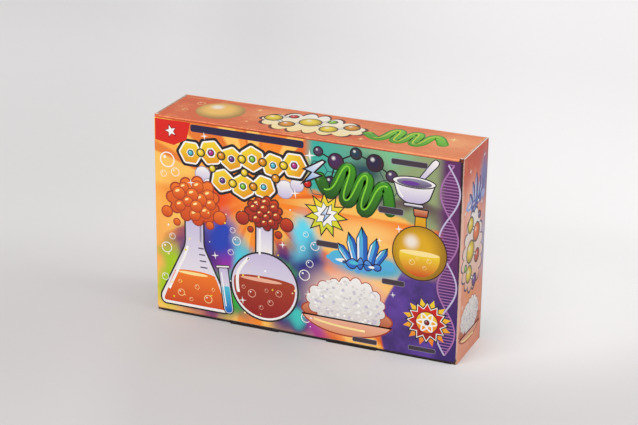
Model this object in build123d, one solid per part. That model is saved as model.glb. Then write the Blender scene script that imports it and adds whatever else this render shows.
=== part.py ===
from build123d import *
import os
from math import sqrt

# Case for a chemistry set: a die-cut carton of micro-flute board that stands on its long front wall.
# X is the width, +Y points to the back, +Z up. The printed lid closes the front, covers the folded
# front edges of both ends and swings on its top crease. The origin is under the middle of the case,
# on the surface that it stands on.

# ---------------------------------------------------------------- driving dimensions, mm
CASE_W = 300.0          # outside width
CASE_D = 68.0           # outside depth
CASE_H = 195.0          # outside height as it stands
BOARD = 1.5             # micro-flute board
FOLD_R = 1.3            # outside radius of a folded edge
EDGE_PROUD = 0.3        # cut edges and lock tabs stand this far out of the printed faces
CREASE_GAP = 0.25       # play round a crease bead that a panel swings on
LID_SHY = 0.5           # lid's side edge stays this far inside the ends' printed faces
LID_SEAT = 0.3          # lid's inner face to the rolled-over folds of the ends, which it covers
CREASE_SHY = 0.4        # end of a crease bead to the end liner
LID_CORNER_R = 6.0      # rounded lower corners of the lid
FLAP_LIFT = 0.3         # crease of the tuck flap above the bottom wall
FLAP_DEPTH = 22.0       # how far the tuck flap reaches in
FLAP_SPRING = 6.5       # degrees that the tuck flap springs up from the bottom wall
FLAP_INSET = 7.4        # tuck flap's end to the end liner
FLAP_CORNER_R = 10.0
LOCK_TAB_W = 49.5       # wall tabs in the lid's lower edge
LOCK_TAB_X = 48.5       # their centres, each side of the middle
LOCK_SLOT_PLAY = 0.6    # slot past the tab, each side
LOCK_SLOT_RISE = 2.1    # slot above the tab
LINER_TAB_W = 18.0      # tabs that lock each end liner into the back panel
LINER_TAB_Z = 52.0      # their centres, above and below the middle
LINER_SLOT_PLAY = 0.3
DUST_FLAP_L = 62.0      # corner flaps folded into the double ends
DUST_FLAP_IN = 1.5      # flap narrower than the wall, each side
DUST_FLAP_TAPER = 10.0
LOCK_TAB_ROUND = 1.2    # tab's nose, rounded by use

INSERT_BOARD = 1.5      # platform board
DECK_DROP = 36.5        # lid's inner face to the platform
INSERT_GAP = 0.3        # platform to the end liners
HOLE_PLAY = 0.3         # round cut-out round its piece, on radius
FINGER_R = 9.0          # half-round notches that the platform is lifted by

JAR_COUNT = 3
JAR_R = 14.0
JAR_H = 40.0            # up to the shoulder's top
JAR_SHOULDER = 4.0
JAR_FOOT_BEVEL = 1.0
JAR_WALL = 1.2
NECK_R = 10.5
NECK_H = 9.0
CAP_R = 13.0
CAP_H = 11.0
CAP_WALL = 1.3
CAP_THREAD_GAP = 0.35   # cap's bore to the neck, on radius
CAP_SKIRT_GAP = 0.8     # closed cap's skirt above the shoulder
CAP_RIBS = 24
CAP_RIB_DEPTH = 0.5     # grip grooves
CAP_BEVEL = 0.7
SEAL_T = 1.0            # sealing disc under the cap's top

CUP_FOOT_R = 17.5
CUP_FOOT_BEVEL = 1.0
CUP_MOUTH_R = 21.5
CUP_H = 54.0
CUP_WALL = 1.2
CUP_LIP = 1.8
CUP_LIP_T = 1.4

TUBE_COUNT = 2
TUBE_R = 7.5
TUBE_LENGTH = 91.0
TUBE_WALL = 1.0
TUBE_RIM_R = 9.0
TUBE_RIM_T = 1.5
TUBE_SINK = 3.0         # depth of the tube's round below the platform's face
TUBE_PLAY = 0.2         # tube to its cut-out
PLUG_L = 9.0
PLUG_TIP_R = 5.7
PLUG_GAP = 0.3          # stopper in the tube's mouth, on radius
STOPPER_HEAD_R = 8.6
STOPPER_HEAD_L = 7.0
STOPPER_BEVEL = 1.2
STOPPER_PULL = 14.0     # travel out of the mouth

DROPPER_R = 3.0
DROPPER_L = 92.0
DROPPER_TAPER = 18.0    # length that narrows to the tip
DROPPER_WALL = 0.7
DROPPER_TIP_R = 1.3
BULB_R = 6.5
BULB_L = 30.0
BULB_WALL = 1.4
BULB_SHOULDER = 5.0     # length that widens from the collar
BULB_DOME = 5.5         # rounding of its closed end
BULB_MOUTH = 7.0        # length of the collar round the tube

SPATULA_L = 96.0        # from the middle of its bowl
SPATULA_W = 5.0
SPATULA_T = 1.8
SCOOP_R = 7.0
SCOOP_WALL = 1.2

GOGGLE_W = 132.0
GOGGLE_H = 44.0
GOGGLE_CORNER_R = 14.5
GOGGLE_WRAP_R = 150.0   # curve of the front
FRAME_T = 4.0
LENS_T = 1.8
LENS_W = 50.0
LENS_H = 33.0
LENS_CORNER_R = 11.0
LENS_X = 31.5           # lens centre to the nose
LENS_SEAT = 1.0         # lens edge in its groove
LENS_PLAY = 0.1
NOSE_R = 9.0
LUG_W = 6.0
LUG_H = 12.0
TEMPLE_T = 3.0
TEMPLE_L = 108.0
TEMPLE_H = 11.0
TEMPLE_TIP_H = 7.0
TEMPLE_TIP_R = 2.3
TEMPLE_HOOK = 32.0      # drooping length behind the ear
TEMPLE_DROP = 12.0
PIN_R = 1.1

BOOKLET_MARGIN = 4.7    # booklet's fold to the left end liner
BOOKLET_W = 105.0
BOOKLET_H = 148.0
PAGES_T = 2.2
COVER_T = 0.4
FOLD_ROUND = 1.2        # rounding of the cover's fold

SAME = 0.01             # coordinates closer than this are equal
PAST = 1.0              # a cut runs this far past what it cuts

# ---------------------------------------------------------------- places that follow from them
HALF_W = CASE_W / 2
FRONT = -CASE_D / 2
BACK = CASE_D / 2
LID_OUT = FRONT + EDGE_PROUD             # printed faces
BACK_OUT = BACK - EDGE_PROUD
TOP_OUT = CASE_H - EDGE_PROUD
END_OUT = HALF_W - EDGE_PROUD
LID_IN = LID_OUT + BOARD                 # faces on the inside
BACK_IN = BACK_OUT - BOARD
TOP_IN = TOP_OUT - BOARD
DUST_OUT = END_OUT - BOARD               # plies of each double end, from outside in
LINER_OUT = DUST_OUT - BOARD
LINER_IN = LINER_OUT - BOARD
LID_HALF = END_OUT - LID_SHY
BEAD_HALF = LINER_IN - CREASE_SHY
CREASE_CLEAR = BOARD + CREASE_GAP
FLAP_AXIS_Z = BOARD + FLAP_LIFT + BOARD  # crease between lid and tuck flap, at the inner corner
SPINE_FRONT = LID_IN + LID_SEAT
DECK_FACE = LID_IN + DECK_DROP
DECK_BACK = DECK_FACE + INSERT_BOARD
MID_Z = CASE_H / 2


def spread(sizes, start, end):
    """Centres of pieces of these sizes, in a row from start to end with equal gaps between and round them."""
    gap = (end - start - sum(sizes)) / (len(sizes) + 1)
    centres = []
    edge = start
    for size in sizes:
        centres.append(edge + gap + size / 2)
        edge += gap + size
    return centres


# the booklet lies at the left, and the kit fills the rest in rows, from the bottom wall up
CUP_WIDEST = 2 * (CUP_MOUTH_R + CUP_LIP)
DROPPER_SPAN = DROPPER_L + BULB_L - BULB_MOUTH
TUBE_SPAN = TUBE_LENGTH + PLUG_GAP + STOPPER_HEAD_L + STOPPER_PULL
BOOKLET_X = -LINER_IN + BOOKLET_MARGIN + BOOKLET_W / 2
KIT_LEFT = BOOKLET_X + BOOKLET_W / 2
ROWS = [2 * BULB_R] + TUBE_COUNT * [2 * TUBE_RIM_R] + [GOGGLE_H, CUP_WIDEST]
DROPPER_Z, *TUBE_Z, GOGGLE_Z, CUP_Z = spread(ROWS, BOARD, TOP_IN)
*JAR_X, CUP_X = spread(JAR_COUNT * [2 * JAR_R] + [CUP_WIDEST], KIT_LEFT, LINER_IN)
GOGGLE_X, SPATULA_X = spread([GOGGLE_W, 2 * SCOOP_R], KIT_LEFT, LINER_IN)
TUBE_FOOT_X = GOGGLE_X - TUBE_SPAN / 2
TUBE_MOUTH_X = TUBE_FOOT_X + TUBE_LENGTH
TUBE_AXIS_Y = DECK_FACE - (TUBE_R - TUBE_SINK)
DROPPER_X = GOGGLE_X - DROPPER_SPAN / 2 + BULB_L  # bulb's mouth
DROPPER_AXIS_Y = DECK_FACE - DROPPER_R
SPATULA_FOOT = (BOARD + CUP_Z - CUP_WIDEST / 2 - SPATULA_L - SCOOP_R) / 2
SPATULA_Z = SPATULA_FOOT + SCOOP_R                # middle of its bowl
NECK_TOP_Y = BACK_IN - JAR_H - NECK_H


# ---------------------------------------------------------------- helpers
def block(x, y, z):
    """Box between two x, two y and two z values."""
    middle = Vector((x[0] + x[1]) / 2, (y[0] + y[1]) / 2, (z[0] + z[1]) / 2)
    return Pos(middle) * Box(x[1] - x[0], y[1] - y[0], z[1] - z[0])


def round_edges(solid, radius, *tests):
    """Fillet the straight edges that pass every test on their centre."""
    edges = [edge for edge in solid.edges() if all(test(edge.center()) for test in tests)]
    return fillet(edges, radius)


def near(axis, value):
    """Test that a point lies at this value of X, Y or Z."""
    return lambda point: abs(getattr(point, axis) - value) < SAME


def out_at(distance):
    """Test that a point lies at this distance from the middle of the width."""
    return lambda point: abs(abs(point.X) - distance) < SAME


def rod_x(radius, x0, x1, y, z):
    """Round rod along X."""
    return Pos((x0 + x1) / 2, y, z) * Rot(0, 90, 0) * Cylinder(radius, x1 - x0)


def turned(points, axis_origin, out, rounds=()):
    """Solid of revolution. points are (distance along out, radius) from axis_origin, rounds (point, fillet)."""
    profile = make_face(Polyline(*[(radius, along) for along, radius in points], close=True))
    for (along, radius), size in rounds:
        corner = [v for v in profile.vertices() if abs(v.X - radius) < SAME and abs(v.Y - along) < SAME]
        profile = fillet(corner, size)
    shape = revolve(Plane.XZ * profile, Axis.Z)
    return Plane(origin=axis_origin, z_dir=out).location * shape


def panel_x(outline, x0, x1):
    """Board in a plane of constant X, from an outline in (Y, Z)."""
    return extrude(Plane((min(x0, x1), 0, 0), x_dir=(0, 1, 0), z_dir=(1, 0, 0)) * outline, abs(x1 - x0))


def panel_y(outline, y0, y1):
    """Board in a plane of constant Y, from an outline in (X, Z)."""
    return extrude(Plane((0, y1, 0), x_dir=(1, 0, 0), z_dir=(0, -1, 0)) * outline, y1 - y0)


def rounded(corners, radius, which=None):
    """Polygon with rounded corners; which picks the corners by test, else all."""
    face = make_face(Polyline(*corners, close=True))
    points = [v for v in face.vertices() if which is None or which(v)]
    return fillet(points, radius)


def mirrored(solid):
    """The same piece on the other side of the case."""
    return mirror(solid, Plane.YZ)


# ---------------------------------------------------------------- carton
def back_panel():
    panel = block((-HALF_W, HALF_W), (BACK_IN, BACK_OUT), (0, CASE_H))
    panel = round_edges(panel, FOLD_R, near("Y", BACK_OUT))
    for side in (-1, 1):
        for level in (-1, 1):
            x = side * (LINER_IN + LINER_OUT) / 2
            z = MID_Z + level * LINER_TAB_Z
            slot = Box(BOARD + 2 * LINER_SLOT_PLAY, 2 * (BOARD + PAST), LINER_TAB_W + 2 * LINER_SLOT_PLAY)
            panel -= Pos(x, BACK, z) * slot
    return panel


def spine_relief(z):
    """Clears a long wall's front corners for the rolled-over folds of the ends."""
    inside = block((LINER_IN, END_OUT), (FRONT, SPINE_FRONT + BOARD), z)
    return inside + mirror(inside, Plane.YZ)


def top_wall():
    wall = block((-DUST_OUT, DUST_OUT), (LID_IN, BACK_IN), (TOP_IN, TOP_OUT)) - spine_relief((TOP_IN, TOP_OUT))
    wall = round_edges(wall, FOLD_R, near("Z", TOP_OUT), out_at(DUST_OUT))
    return wall + rod_x(BOARD, -BEAD_HALF, BEAD_HALF, LID_IN, TOP_IN)


def bottom_wall():
    wall = block((-DUST_OUT, DUST_OUT), (LID_IN, BACK_IN), (0, BOARD)) - spine_relief((0, BOARD))
    wall = round_edges(wall, FOLD_R, near("Z", 0), out_at(DUST_OUT))
    for side in (-1, 1):
        x = side * LOCK_TAB_X
        tab = block((x - LOCK_TAB_W / 2, x + LOCK_TAB_W / 2), (FRONT, LID_IN + BOARD), (0, BOARD))
        wall += round_edges(tab, LOCK_TAB_ROUND, near("Y", FRONT), near("Z", BOARD / 2))
    return wall


def right_end_wall():
    wall = block((DUST_OUT, END_OUT), (SPINE_FRONT, BACK_IN), (0, CASE_H))
    spine = block((LINER_IN, END_OUT), (SPINE_FRONT, SPINE_FRONT + BOARD), (0, CASE_H))
    end = wall + spine
    upright = (near("Y", SPINE_FRONT), near("Z", MID_Z))
    return round_edges(end, FOLD_R, *upright)


def right_end_liner():
    front = SPINE_FRONT + BOARD
    liner = block((LINER_IN, LINER_OUT), (front, BACK_IN), (BOARD, TOP_IN))
    for level in (-1, 1):
        z = MID_Z + level * LINER_TAB_Z
        half = LINER_TAB_W / 2
        liner += block((LINER_IN, LINER_OUT), (BACK_IN - BOARD, BACK), (z - half, z + half))
    return liner


def dust_flap_right(root, tip):
    """Corner flap in the right end, from its wall at root to its free edge at tip."""
    front = SPINE_FRONT + BOARD + DUST_FLAP_IN
    back = BACK_IN - DUST_FLAP_IN
    corners = [(front, root), (back, root), (back - DUST_FLAP_TAPER, tip), (front + DUST_FLAP_TAPER, tip)]
    outline = rounded(corners, DUST_FLAP_TAPER / 2, near("Y", tip))
    return panel_x(outline, LINER_OUT, DUST_OUT)


def lid_panel():
    # section in (Y, Z): flat board, rounded where it turns under and hollow round the top crease bead
    foot = FLAP_AXIS_Z - BOARD
    section = rounded([(LID_OUT, foot), (LID_OUT, TOP_IN), (LID_IN, TOP_IN), (LID_IN, foot)], BOARD - SAME,
                      lambda v: v.X < LID_IN - SAME and v.Y < MID_Z)
    section -= Pos(LID_IN, TOP_IN) * Circle(CREASE_CLEAR)
    panel = panel_x(section, -LID_HALF, LID_HALF)
    panel = round_edges(panel, FOLD_R, near("Y", LID_OUT), out_at(LID_HALF))
    edge = [(-LID_HALF, foot), (LID_HALF, foot), (LID_HALF, CASE_H), (-LID_HALF, CASE_H)]
    panel &= panel_y(rounded(edge, LID_CORNER_R, lambda v: v.Y < MID_Z), FRONT, LID_IN)
    panel += rod_x(BOARD, -BEAD_HALF, BEAD_HALF, LID_IN, FLAP_AXIS_Z)
    slot_half = LOCK_TAB_W / 2 + LOCK_SLOT_PLAY
    for x in (-LOCK_TAB_X, LOCK_TAB_X):
        panel -= block((x - slot_half, x + slot_half), (FRONT, LID_IN), (0, BOARD + LOCK_SLOT_RISE))
    return panel


def tuck_flap():
    # modelled flat, then sprung up about its crease
    half = LINER_IN - FLAP_INSET
    tip = LID_IN + FLAP_DEPTH
    flat = block((-half, half), (LID_IN, tip), (FLAP_AXIS_Z - BOARD, FLAP_AXIS_Z))
    flat = round_edges(flat, FLAP_CORNER_R, near("Y", tip), out_at(half))
    flat -= rod_x(CREASE_CLEAR, -half - PAST, half + PAST, LID_IN, FLAP_AXIS_Z)
    crease = Axis((0, LID_IN, FLAP_AXIS_Z), (1, 0, 0))
    return flat.rotate(crease, FLAP_SPRING)


# ---------------------------------------------------------------- platform
def half_chord(radius, distance):
    """Half the width of a round of this radius, cut at this distance from its axis."""
    return sqrt(radius ** 2 - distance ** 2)


def cup_radius(height):
    """Outer radius of the cup at this height above its foot."""
    return CUP_FOOT_R + (CUP_MOUTH_R - CUP_FOOT_R) * height / CUP_H


def insert_deck():
    half = LINER_IN - INSERT_GAP
    deck = block((-half, half), (DECK_FACE, DECK_BACK), (BOARD, TOP_IN))
    for fold_z in (BOARD, TOP_IN):
        deck = round_edges(deck, FOLD_R, near("Y", DECK_FACE), near("Z", fold_z))

    def cut(outline):
        return panel_y(outline, DECK_FACE - BOARD, DECK_BACK + BOARD)

    for x in (-half, half):
        deck -= cut(Pos(x, MID_Z) * Circle(FINGER_R))
    for x in JAR_X:
        deck -= cut(Pos(x, CUP_Z) * Circle(JAR_R + HOLE_PLAY))
    deck -= cut(Pos(CUP_X, CUP_Z) * Circle(cup_radius(BACK_IN - DECK_FACE) + HOLE_PLAY))
    for z in TUBE_Z:
        body = 2 * (half_chord(TUBE_R, TUBE_R - TUBE_SINK) + TUBE_PLAY)
        head = 2 * (half_chord(TUBE_RIM_R, TUBE_R - TUBE_SINK) + TUBE_PLAY)
        rim_x = TUBE_MOUTH_X - TUBE_RIM_T - TUBE_PLAY
        end_x = TUBE_MOUTH_X + PLUG_GAP + STOPPER_HEAD_L + STOPPER_PULL + TUBE_PLAY
        foot_x = TUBE_FOOT_X - TUBE_PLAY
        long_slot = Pos((foot_x + rim_x) / 2, z) * Rectangle(rim_x - foot_x, body)
        wide_slot = Pos((rim_x + end_x) / 2, z) * Rectangle(end_x - rim_x, head)
        deck -= cut(long_slot + wide_slot)
    bulb_w = 2 * (half_chord(BULB_R, DROPPER_R) + TUBE_PLAY)
    bulb_x = DROPPER_X - BULB_L / 2 + BULB_MOUTH / 2
    deck -= cut(Pos(bulb_x, DROPPER_Z) * Rectangle(BULB_L + BULB_MOUTH + 2 * TUBE_PLAY, bulb_w))
    deck -= cut(Pos(SPATULA_X, SPATULA_Z) * Circle(SCOOP_R + HOLE_PLAY))
    return deck


def insert_leg(z0, z1):
    half = LINER_IN - INSERT_GAP
    return block((-half, half), (DECK_BACK, BACK_IN), (z0, z1))


# ---------------------------------------------------------------- jars
def jar(x):
    outside = [(0, 0), (0, JAR_R - JAR_FOOT_BEVEL), (JAR_FOOT_BEVEL, JAR_R), (JAR_H - JAR_SHOULDER, JAR_R),
               (JAR_H, NECK_R), (JAR_H + NECK_H, NECK_R)]
    inner_neck = NECK_R - JAR_WALL
    inner_body = JAR_R - JAR_WALL
    inside = [(JAR_H + NECK_H, inner_neck), (JAR_H - JAR_WALL / 2, inner_neck),
              (JAR_H - JAR_SHOULDER - JAR_WALL / 2, inner_body), (JAR_WALL, inner_body), (JAR_WALL, 0)]
    return turned(outside + inside, (x, BACK_IN, CUP_Z), (0, -1, 0))


def jar_liner(x):
    return turned([(0, 0), (0, NECK_R), (SEAL_T, NECK_R), (SEAL_T, 0)], (x, NECK_TOP_Y, CUP_Z), (0, -1, 0))


def jar_cap(x):
    bore = NECK_R + CAP_THREAD_GAP
    skirt = -(NECK_H - CAP_SKIRT_GAP)
    top = SEAL_T + CAP_WALL
    profile = [(skirt, bore), (skirt, CAP_R), (top - CAP_BEVEL, CAP_R), (top, CAP_R - CAP_BEVEL), (top, 0),
               (SEAL_T, 0), (SEAL_T, bore)]
    cap = turned(profile, (x, NECK_TOP_Y, CUP_Z), (0, -1, 0))
    # each grip groove is the corner of a square bar, from the skirt's edge to just under the bevel
    groove_l = top - 2 * CAP_BEVEL - skirt
    bar = Rot(0, 45, 0) * Box(CAP_RIB_DEPTH * sqrt(2), groove_l + PAST, CAP_RIB_DEPTH * sqrt(2))
    groove_y = NECK_TOP_Y - skirt - (groove_l - PAST) / 2
    for step in range(CAP_RIBS):
        turn = Rot(0, 360 * step / CAP_RIBS, 0)
        cap -= Pos(x, groove_y, CUP_Z) * turn * Pos(CAP_R, 0, 0) * bar
    return cap


# ---------------------------------------------------------------- tubes, cup, dropper, spatula
def test_tube(z):
    bore = TUBE_R - TUBE_WALL
    bend_x = TUBE_FOOT_X + TUBE_R
    end = Pos(bend_x, TUBE_AXIS_Y, z)
    outside = end * Sphere(TUBE_R) + rod_x(TUBE_R, bend_x, TUBE_MOUTH_X, TUBE_AXIS_Y, z)
    outside += rod_x(TUBE_RIM_R, TUBE_MOUTH_X - TUBE_RIM_T, TUBE_MOUTH_X, TUBE_AXIS_Y, z)
    return outside - end * Sphere(bore) - rod_x(bore, bend_x, TUBE_MOUTH_X, TUBE_AXIS_Y, z)


def tube_stopper(z):
    root = TUBE_R - TUBE_WALL - PLUG_GAP
    end = PLUG_GAP + STOPPER_HEAD_L
    profile = [(-PLUG_L, 0), (-PLUG_L, PLUG_TIP_R), (PLUG_GAP, root), (PLUG_GAP, STOPPER_HEAD_R),
               (end - STOPPER_BEVEL, STOPPER_HEAD_R), (end, STOPPER_HEAD_R - STOPPER_BEVEL), (end, 0)]
    return turned(profile, (TUBE_MOUTH_X, TUBE_AXIS_Y, z), (1, 0, 0))


def measuring_cup():
    lip_foot = CUP_H - CUP_LIP_T
    profile = [(0, 0), (0, CUP_FOOT_R - CUP_FOOT_BEVEL), (CUP_FOOT_BEVEL, cup_radius(CUP_FOOT_BEVEL)),
               (lip_foot, cup_radius(lip_foot)), (lip_foot, CUP_MOUTH_R + CUP_LIP),
               (CUP_H, CUP_MOUTH_R + CUP_LIP), (CUP_H, CUP_MOUTH_R - CUP_WALL),
               (CUP_WALL, CUP_FOOT_R - CUP_WALL), (CUP_WALL, 0)]
    return turned(profile, (CUP_X, BACK_IN, CUP_Z), (0, -1, 0))


def dropper_tube():
    shoulder = DROPPER_L - DROPPER_TAPER
    bore = DROPPER_R - DROPPER_WALL
    tip_bore = DROPPER_TIP_R - DROPPER_WALL
    profile = [(0, bore), (0, DROPPER_R), (shoulder, DROPPER_R), (DROPPER_L, DROPPER_TIP_R),
               (DROPPER_L, tip_bore), (shoulder, bore)]
    return turned(profile, (DROPPER_X - BULB_MOUTH, DROPPER_AXIS_Y, DROPPER_Z), (1, 0, 0))


def dropper_bulb():
    collar_r = DROPPER_R + BULB_WALL
    bore = BULB_R - BULB_WALL
    widest = BULB_MOUTH + BULB_SHOULDER
    inner_end = BULB_L - BULB_WALL
    profile = [(0, DROPPER_R), (0, collar_r), (BULB_MOUTH, collar_r), (widest, BULB_R), (BULB_L, BULB_R), (BULB_L, 0),
               (inner_end, 0), (inner_end, bore), (widest, bore), (BULB_MOUTH, DROPPER_R)]
    dome = [((BULB_L, BULB_R), BULB_DOME), ((inner_end, bore), BULB_DOME - BULB_WALL)]
    return turned(profile, (DROPPER_X, DROPPER_AXIS_Y, DROPPER_Z), (-1, 0, 0), dome)


def spatula():
    face = DECK_FACE - SPATULA_T
    centre = Pos(SPATULA_X, face, SPATULA_Z)
    front_half = Pos(SPATULA_X, face - SCOOP_R, SPATULA_Z) * Box(3 * SCOOP_R, 2 * SCOOP_R, 3 * SCOOP_R)
    scoop = centre * Sphere(SCOOP_R) - centre * Sphere(SCOOP_R - SCOOP_WALL) - front_half
    x = (SPATULA_X - SPATULA_W / 2, SPATULA_X + SPATULA_W / 2)
    handle = block(x, (face, DECK_FACE), (SPATULA_Z + SCOOP_R - SCOOP_WALL / 2, SPATULA_Z + SPATULA_L))
    corners = handle.edges().filter_by(Axis.Y).group_by(Axis.Z)[-1]
    return scoop + fillet(corners, SPATULA_W / 2 - SAME)


# ---------------------------------------------------------------- goggles, folded, front to the lid
GOGGLE_HALF = GOGGLE_W / 2
WRAP_IN = GOGGLE_WRAP_R - FRAME_T
TEMPLE_OUT_Y = DECK_FACE - 2 * TEMPLE_T       # front face of the upper temple
WRAP_Y = TEMPLE_OUT_Y + sqrt(WRAP_IN ** 2 - GOGGLE_HALF ** 2)
EAR_T = 2.0                                   # hinge ears of each lug


def wrapped(outline, depth_out, depth_in):
    """Outline in (X, Z) from the goggle's middle, as a curved shell between two depths."""
    prism = Pos(GOGGLE_X, 0, GOGGLE_Z) * panel_y(outline, WRAP_Y - GOGGLE_WRAP_R, DECK_FACE)
    curve = Cylinder(GOGGLE_WRAP_R - depth_out, 2 * GOGGLE_H) - Cylinder(GOGGLE_WRAP_R - depth_in, 2 * GOGGLE_H)
    return prism & (Pos(GOGGLE_X, WRAP_Y, GOGGLE_Z) * curve)


def lens_outline(side, grow):
    return Pos(side * LENS_X, 0) * RectangleRounded(LENS_W + 2 * grow, LENS_H + 2 * grow, LENS_CORNER_R + grow)


def goggle_lens(side):
    inset = (FRAME_T - LENS_T) / 2
    return wrapped(lens_outline(side, LENS_SEAT), inset, inset + LENS_T)


def temple_layer(side):
    """Depth range of a folded temple: the left one lies on the platform, the right one on it."""
    near_deck = DECK_FACE if side < 0 else DECK_FACE - TEMPLE_T
    return near_deck - TEMPLE_T, near_deck


def pin_place(side):
    y0, y1 = temple_layer(side)
    return Pos(GOGGLE_X + side * (GOGGLE_HALF - LUG_W - TEMPLE_T), (y0 + y1) / 2, GOGGLE_Z)


def goggle_frame():
    outline = RectangleRounded(GOGGLE_W, GOGGLE_H, GOGGLE_CORNER_R)
    outline -= Pos(0, -GOGGLE_H / 2) * Circle(NOSE_R)
    inset = (FRAME_T - LENS_T) / 2
    frame = wrapped(outline, 0, FRAME_T)
    for side in (-1, 1):
        frame -= wrapped(lens_outline(side, 0), -PAST, FRAME_T + PAST)
        frame -= wrapped(lens_outline(side, LENS_SEAT + LENS_PLAY), inset - LENS_PLAY, inset + LENS_T + LENS_PLAY)
        y0, y1 = temple_layer(side)
        edge = GOGGLE_X + side * GOGGLE_HALF
        lug_in = edge - side * LUG_W
        ear_in = lug_in - side * 2 * TEMPLE_T
        height = TEMPLE_H / 2 + EAR_T
        x = sorted((edge, lug_in))
        frame += block(x, (TEMPLE_OUT_Y - FRAME_T / 2, y1), (GOGGLE_Z - height, GOGGLE_Z + height))
        for level in (-1, 1):
            z = sorted((GOGGLE_Z + level * TEMPLE_H / 2, GOGGLE_Z + level * height))
            frame += block(sorted((lug_in, ear_in)), (y0, y1), z)
        frame -= pin_place(side) * Cylinder(PIN_R + LENS_PLAY / 2, 2 * height)
    return frame


def goggle_temple(side):
    y0, y1 = temple_layer(side)
    top = TEMPLE_H / 2 - LENS_PLAY
    bend = TEMPLE_L - TEMPLE_HOOK
    outline = rounded([(0, -top), (0, top), (bend, top), (TEMPLE_L, TEMPLE_TIP_H / 2 - TEMPLE_DROP),
                       (TEMPLE_L, -TEMPLE_TIP_H / 2 - TEMPLE_DROP), (bend - TEMPLE_TIP_H, -top)],
                      TEMPLE_TIP_R, lambda v: v.X > SAME)
    arm = panel_y(outline, y0, y1)
    if side > 0:
        arm = mirrored(arm)
    arm = Pos(GOGGLE_X + side * (GOGGLE_HALF - LUG_W), 0, GOGGLE_Z) * arm
    return arm - pin_place(side) * Cylinder(PIN_R + LENS_PLAY / 2, 2 * TEMPLE_H)


def goggle_hinge_pins():
    pin = Cylinder(PIN_R, TEMPLE_H + 2 * EAR_T)
    return Compound(children=[pin_place(side) * pin for side in (-1, 1)])


# ---------------------------------------------------------------- booklet
def booklet_cover():
    x = (BOOKLET_X - BOOKLET_W / 2, BOOKLET_X + BOOKLET_W / 2)
    z = (MID_Z - BOOKLET_H / 2, MID_Z + BOOKLET_H / 2)
    thick = PAGES_T + 2 * COVER_T
    folded = block(x, (DECK_FACE - thick, DECK_FACE), z)
    folded = round_edges(folded, FOLD_ROUND, near("X", x[0]), near("Z", MID_Z))
    return folded - block((x[0] + COVER_T, x[1]), (DECK_FACE - thick + COVER_T, DECK_FACE - COVER_T), z)


def booklet_pages():
    x = (BOOKLET_X - BOOKLET_W / 2 + COVER_T, BOOKLET_X + BOOKLET_W / 2 - COVER_T)
    z = (MID_Z - BOOKLET_H / 2, MID_Z + BOOKLET_H / 2)
    return block(x, (DECK_FACE - COVER_T - PAGES_T, DECK_FACE - COVER_T), z)


# ---------------------------------------------------------------- the set
def all_pieces():
    end_wall = right_end_wall()
    end_liner = right_end_liner()
    upper_flap = dust_flap_right(TOP_IN, TOP_IN - DUST_FLAP_L)
    lower_flap = dust_flap_right(BOARD, BOARD + DUST_FLAP_L)
    pieces = {
        "back_panel": back_panel(), "top_wall": top_wall(), "bottom_wall": bottom_wall(),
        "right_end_wall": end_wall, "left_end_wall": mirrored(end_wall),
        "right_end_liner": end_liner, "left_end_liner": mirrored(end_liner),
        "dust_flap_upper_right": upper_flap, "dust_flap_upper_left": mirrored(upper_flap),
        "dust_flap_lower_right": lower_flap, "dust_flap_lower_left": mirrored(lower_flap),
        "lid_panel": lid_panel(), "tuck_flap": tuck_flap(),
        "insert_deck": insert_deck(),
        "insert_leg_lower": insert_leg(BOARD, BOARD + INSERT_BOARD),
        "insert_leg_upper": insert_leg(TOP_IN - INSERT_BOARD, TOP_IN),
        "measuring_cup": measuring_cup(), "dropper_tube": dropper_tube(), "dropper_bulb": dropper_bulb(),
        "spatula": spatula(), "goggle_frame": goggle_frame(), "goggle_hinge_pins": goggle_hinge_pins(),
        "booklet_cover": booklet_cover(), "booklet_pages": booklet_pages(),
    }
    for name, side in (("left", -1), ("right", 1)):
        pieces[f"goggle_lens_{name}"] = goggle_lens(side)
        pieces[f"goggle_temple_{name}"] = goggle_temple(side)
    for number, x in enumerate(JAR_X, 1):
        pieces[f"jar_{number}"] = jar(x)
        pieces[f"jar_liner_{number}"] = jar_liner(x)
        pieces[f"jar_cap_{number}"] = jar_cap(x)
    for number, z in enumerate(reversed(TUBE_Z), 1):
        pieces[f"test_tube_{number}"] = test_tube(z)
        pieces[f"tube_stopper_{number}"] = tube_stopper(z)
    return pieces


os.makedirs("parts", exist_ok=True)
for node, piece in all_pieces().items():
    export_step(piece, f"parts/{node}.step")
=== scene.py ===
import random
from math import cos, degrees, pi, radians, sin, tau

import bmesh
import bpy
from bpy.props import FloatProperty, FloatVectorProperty, PointerProperty
from mathutils import Matrix, Vector
from mathutils.geometry import intersect_point_tri_2d


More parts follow.
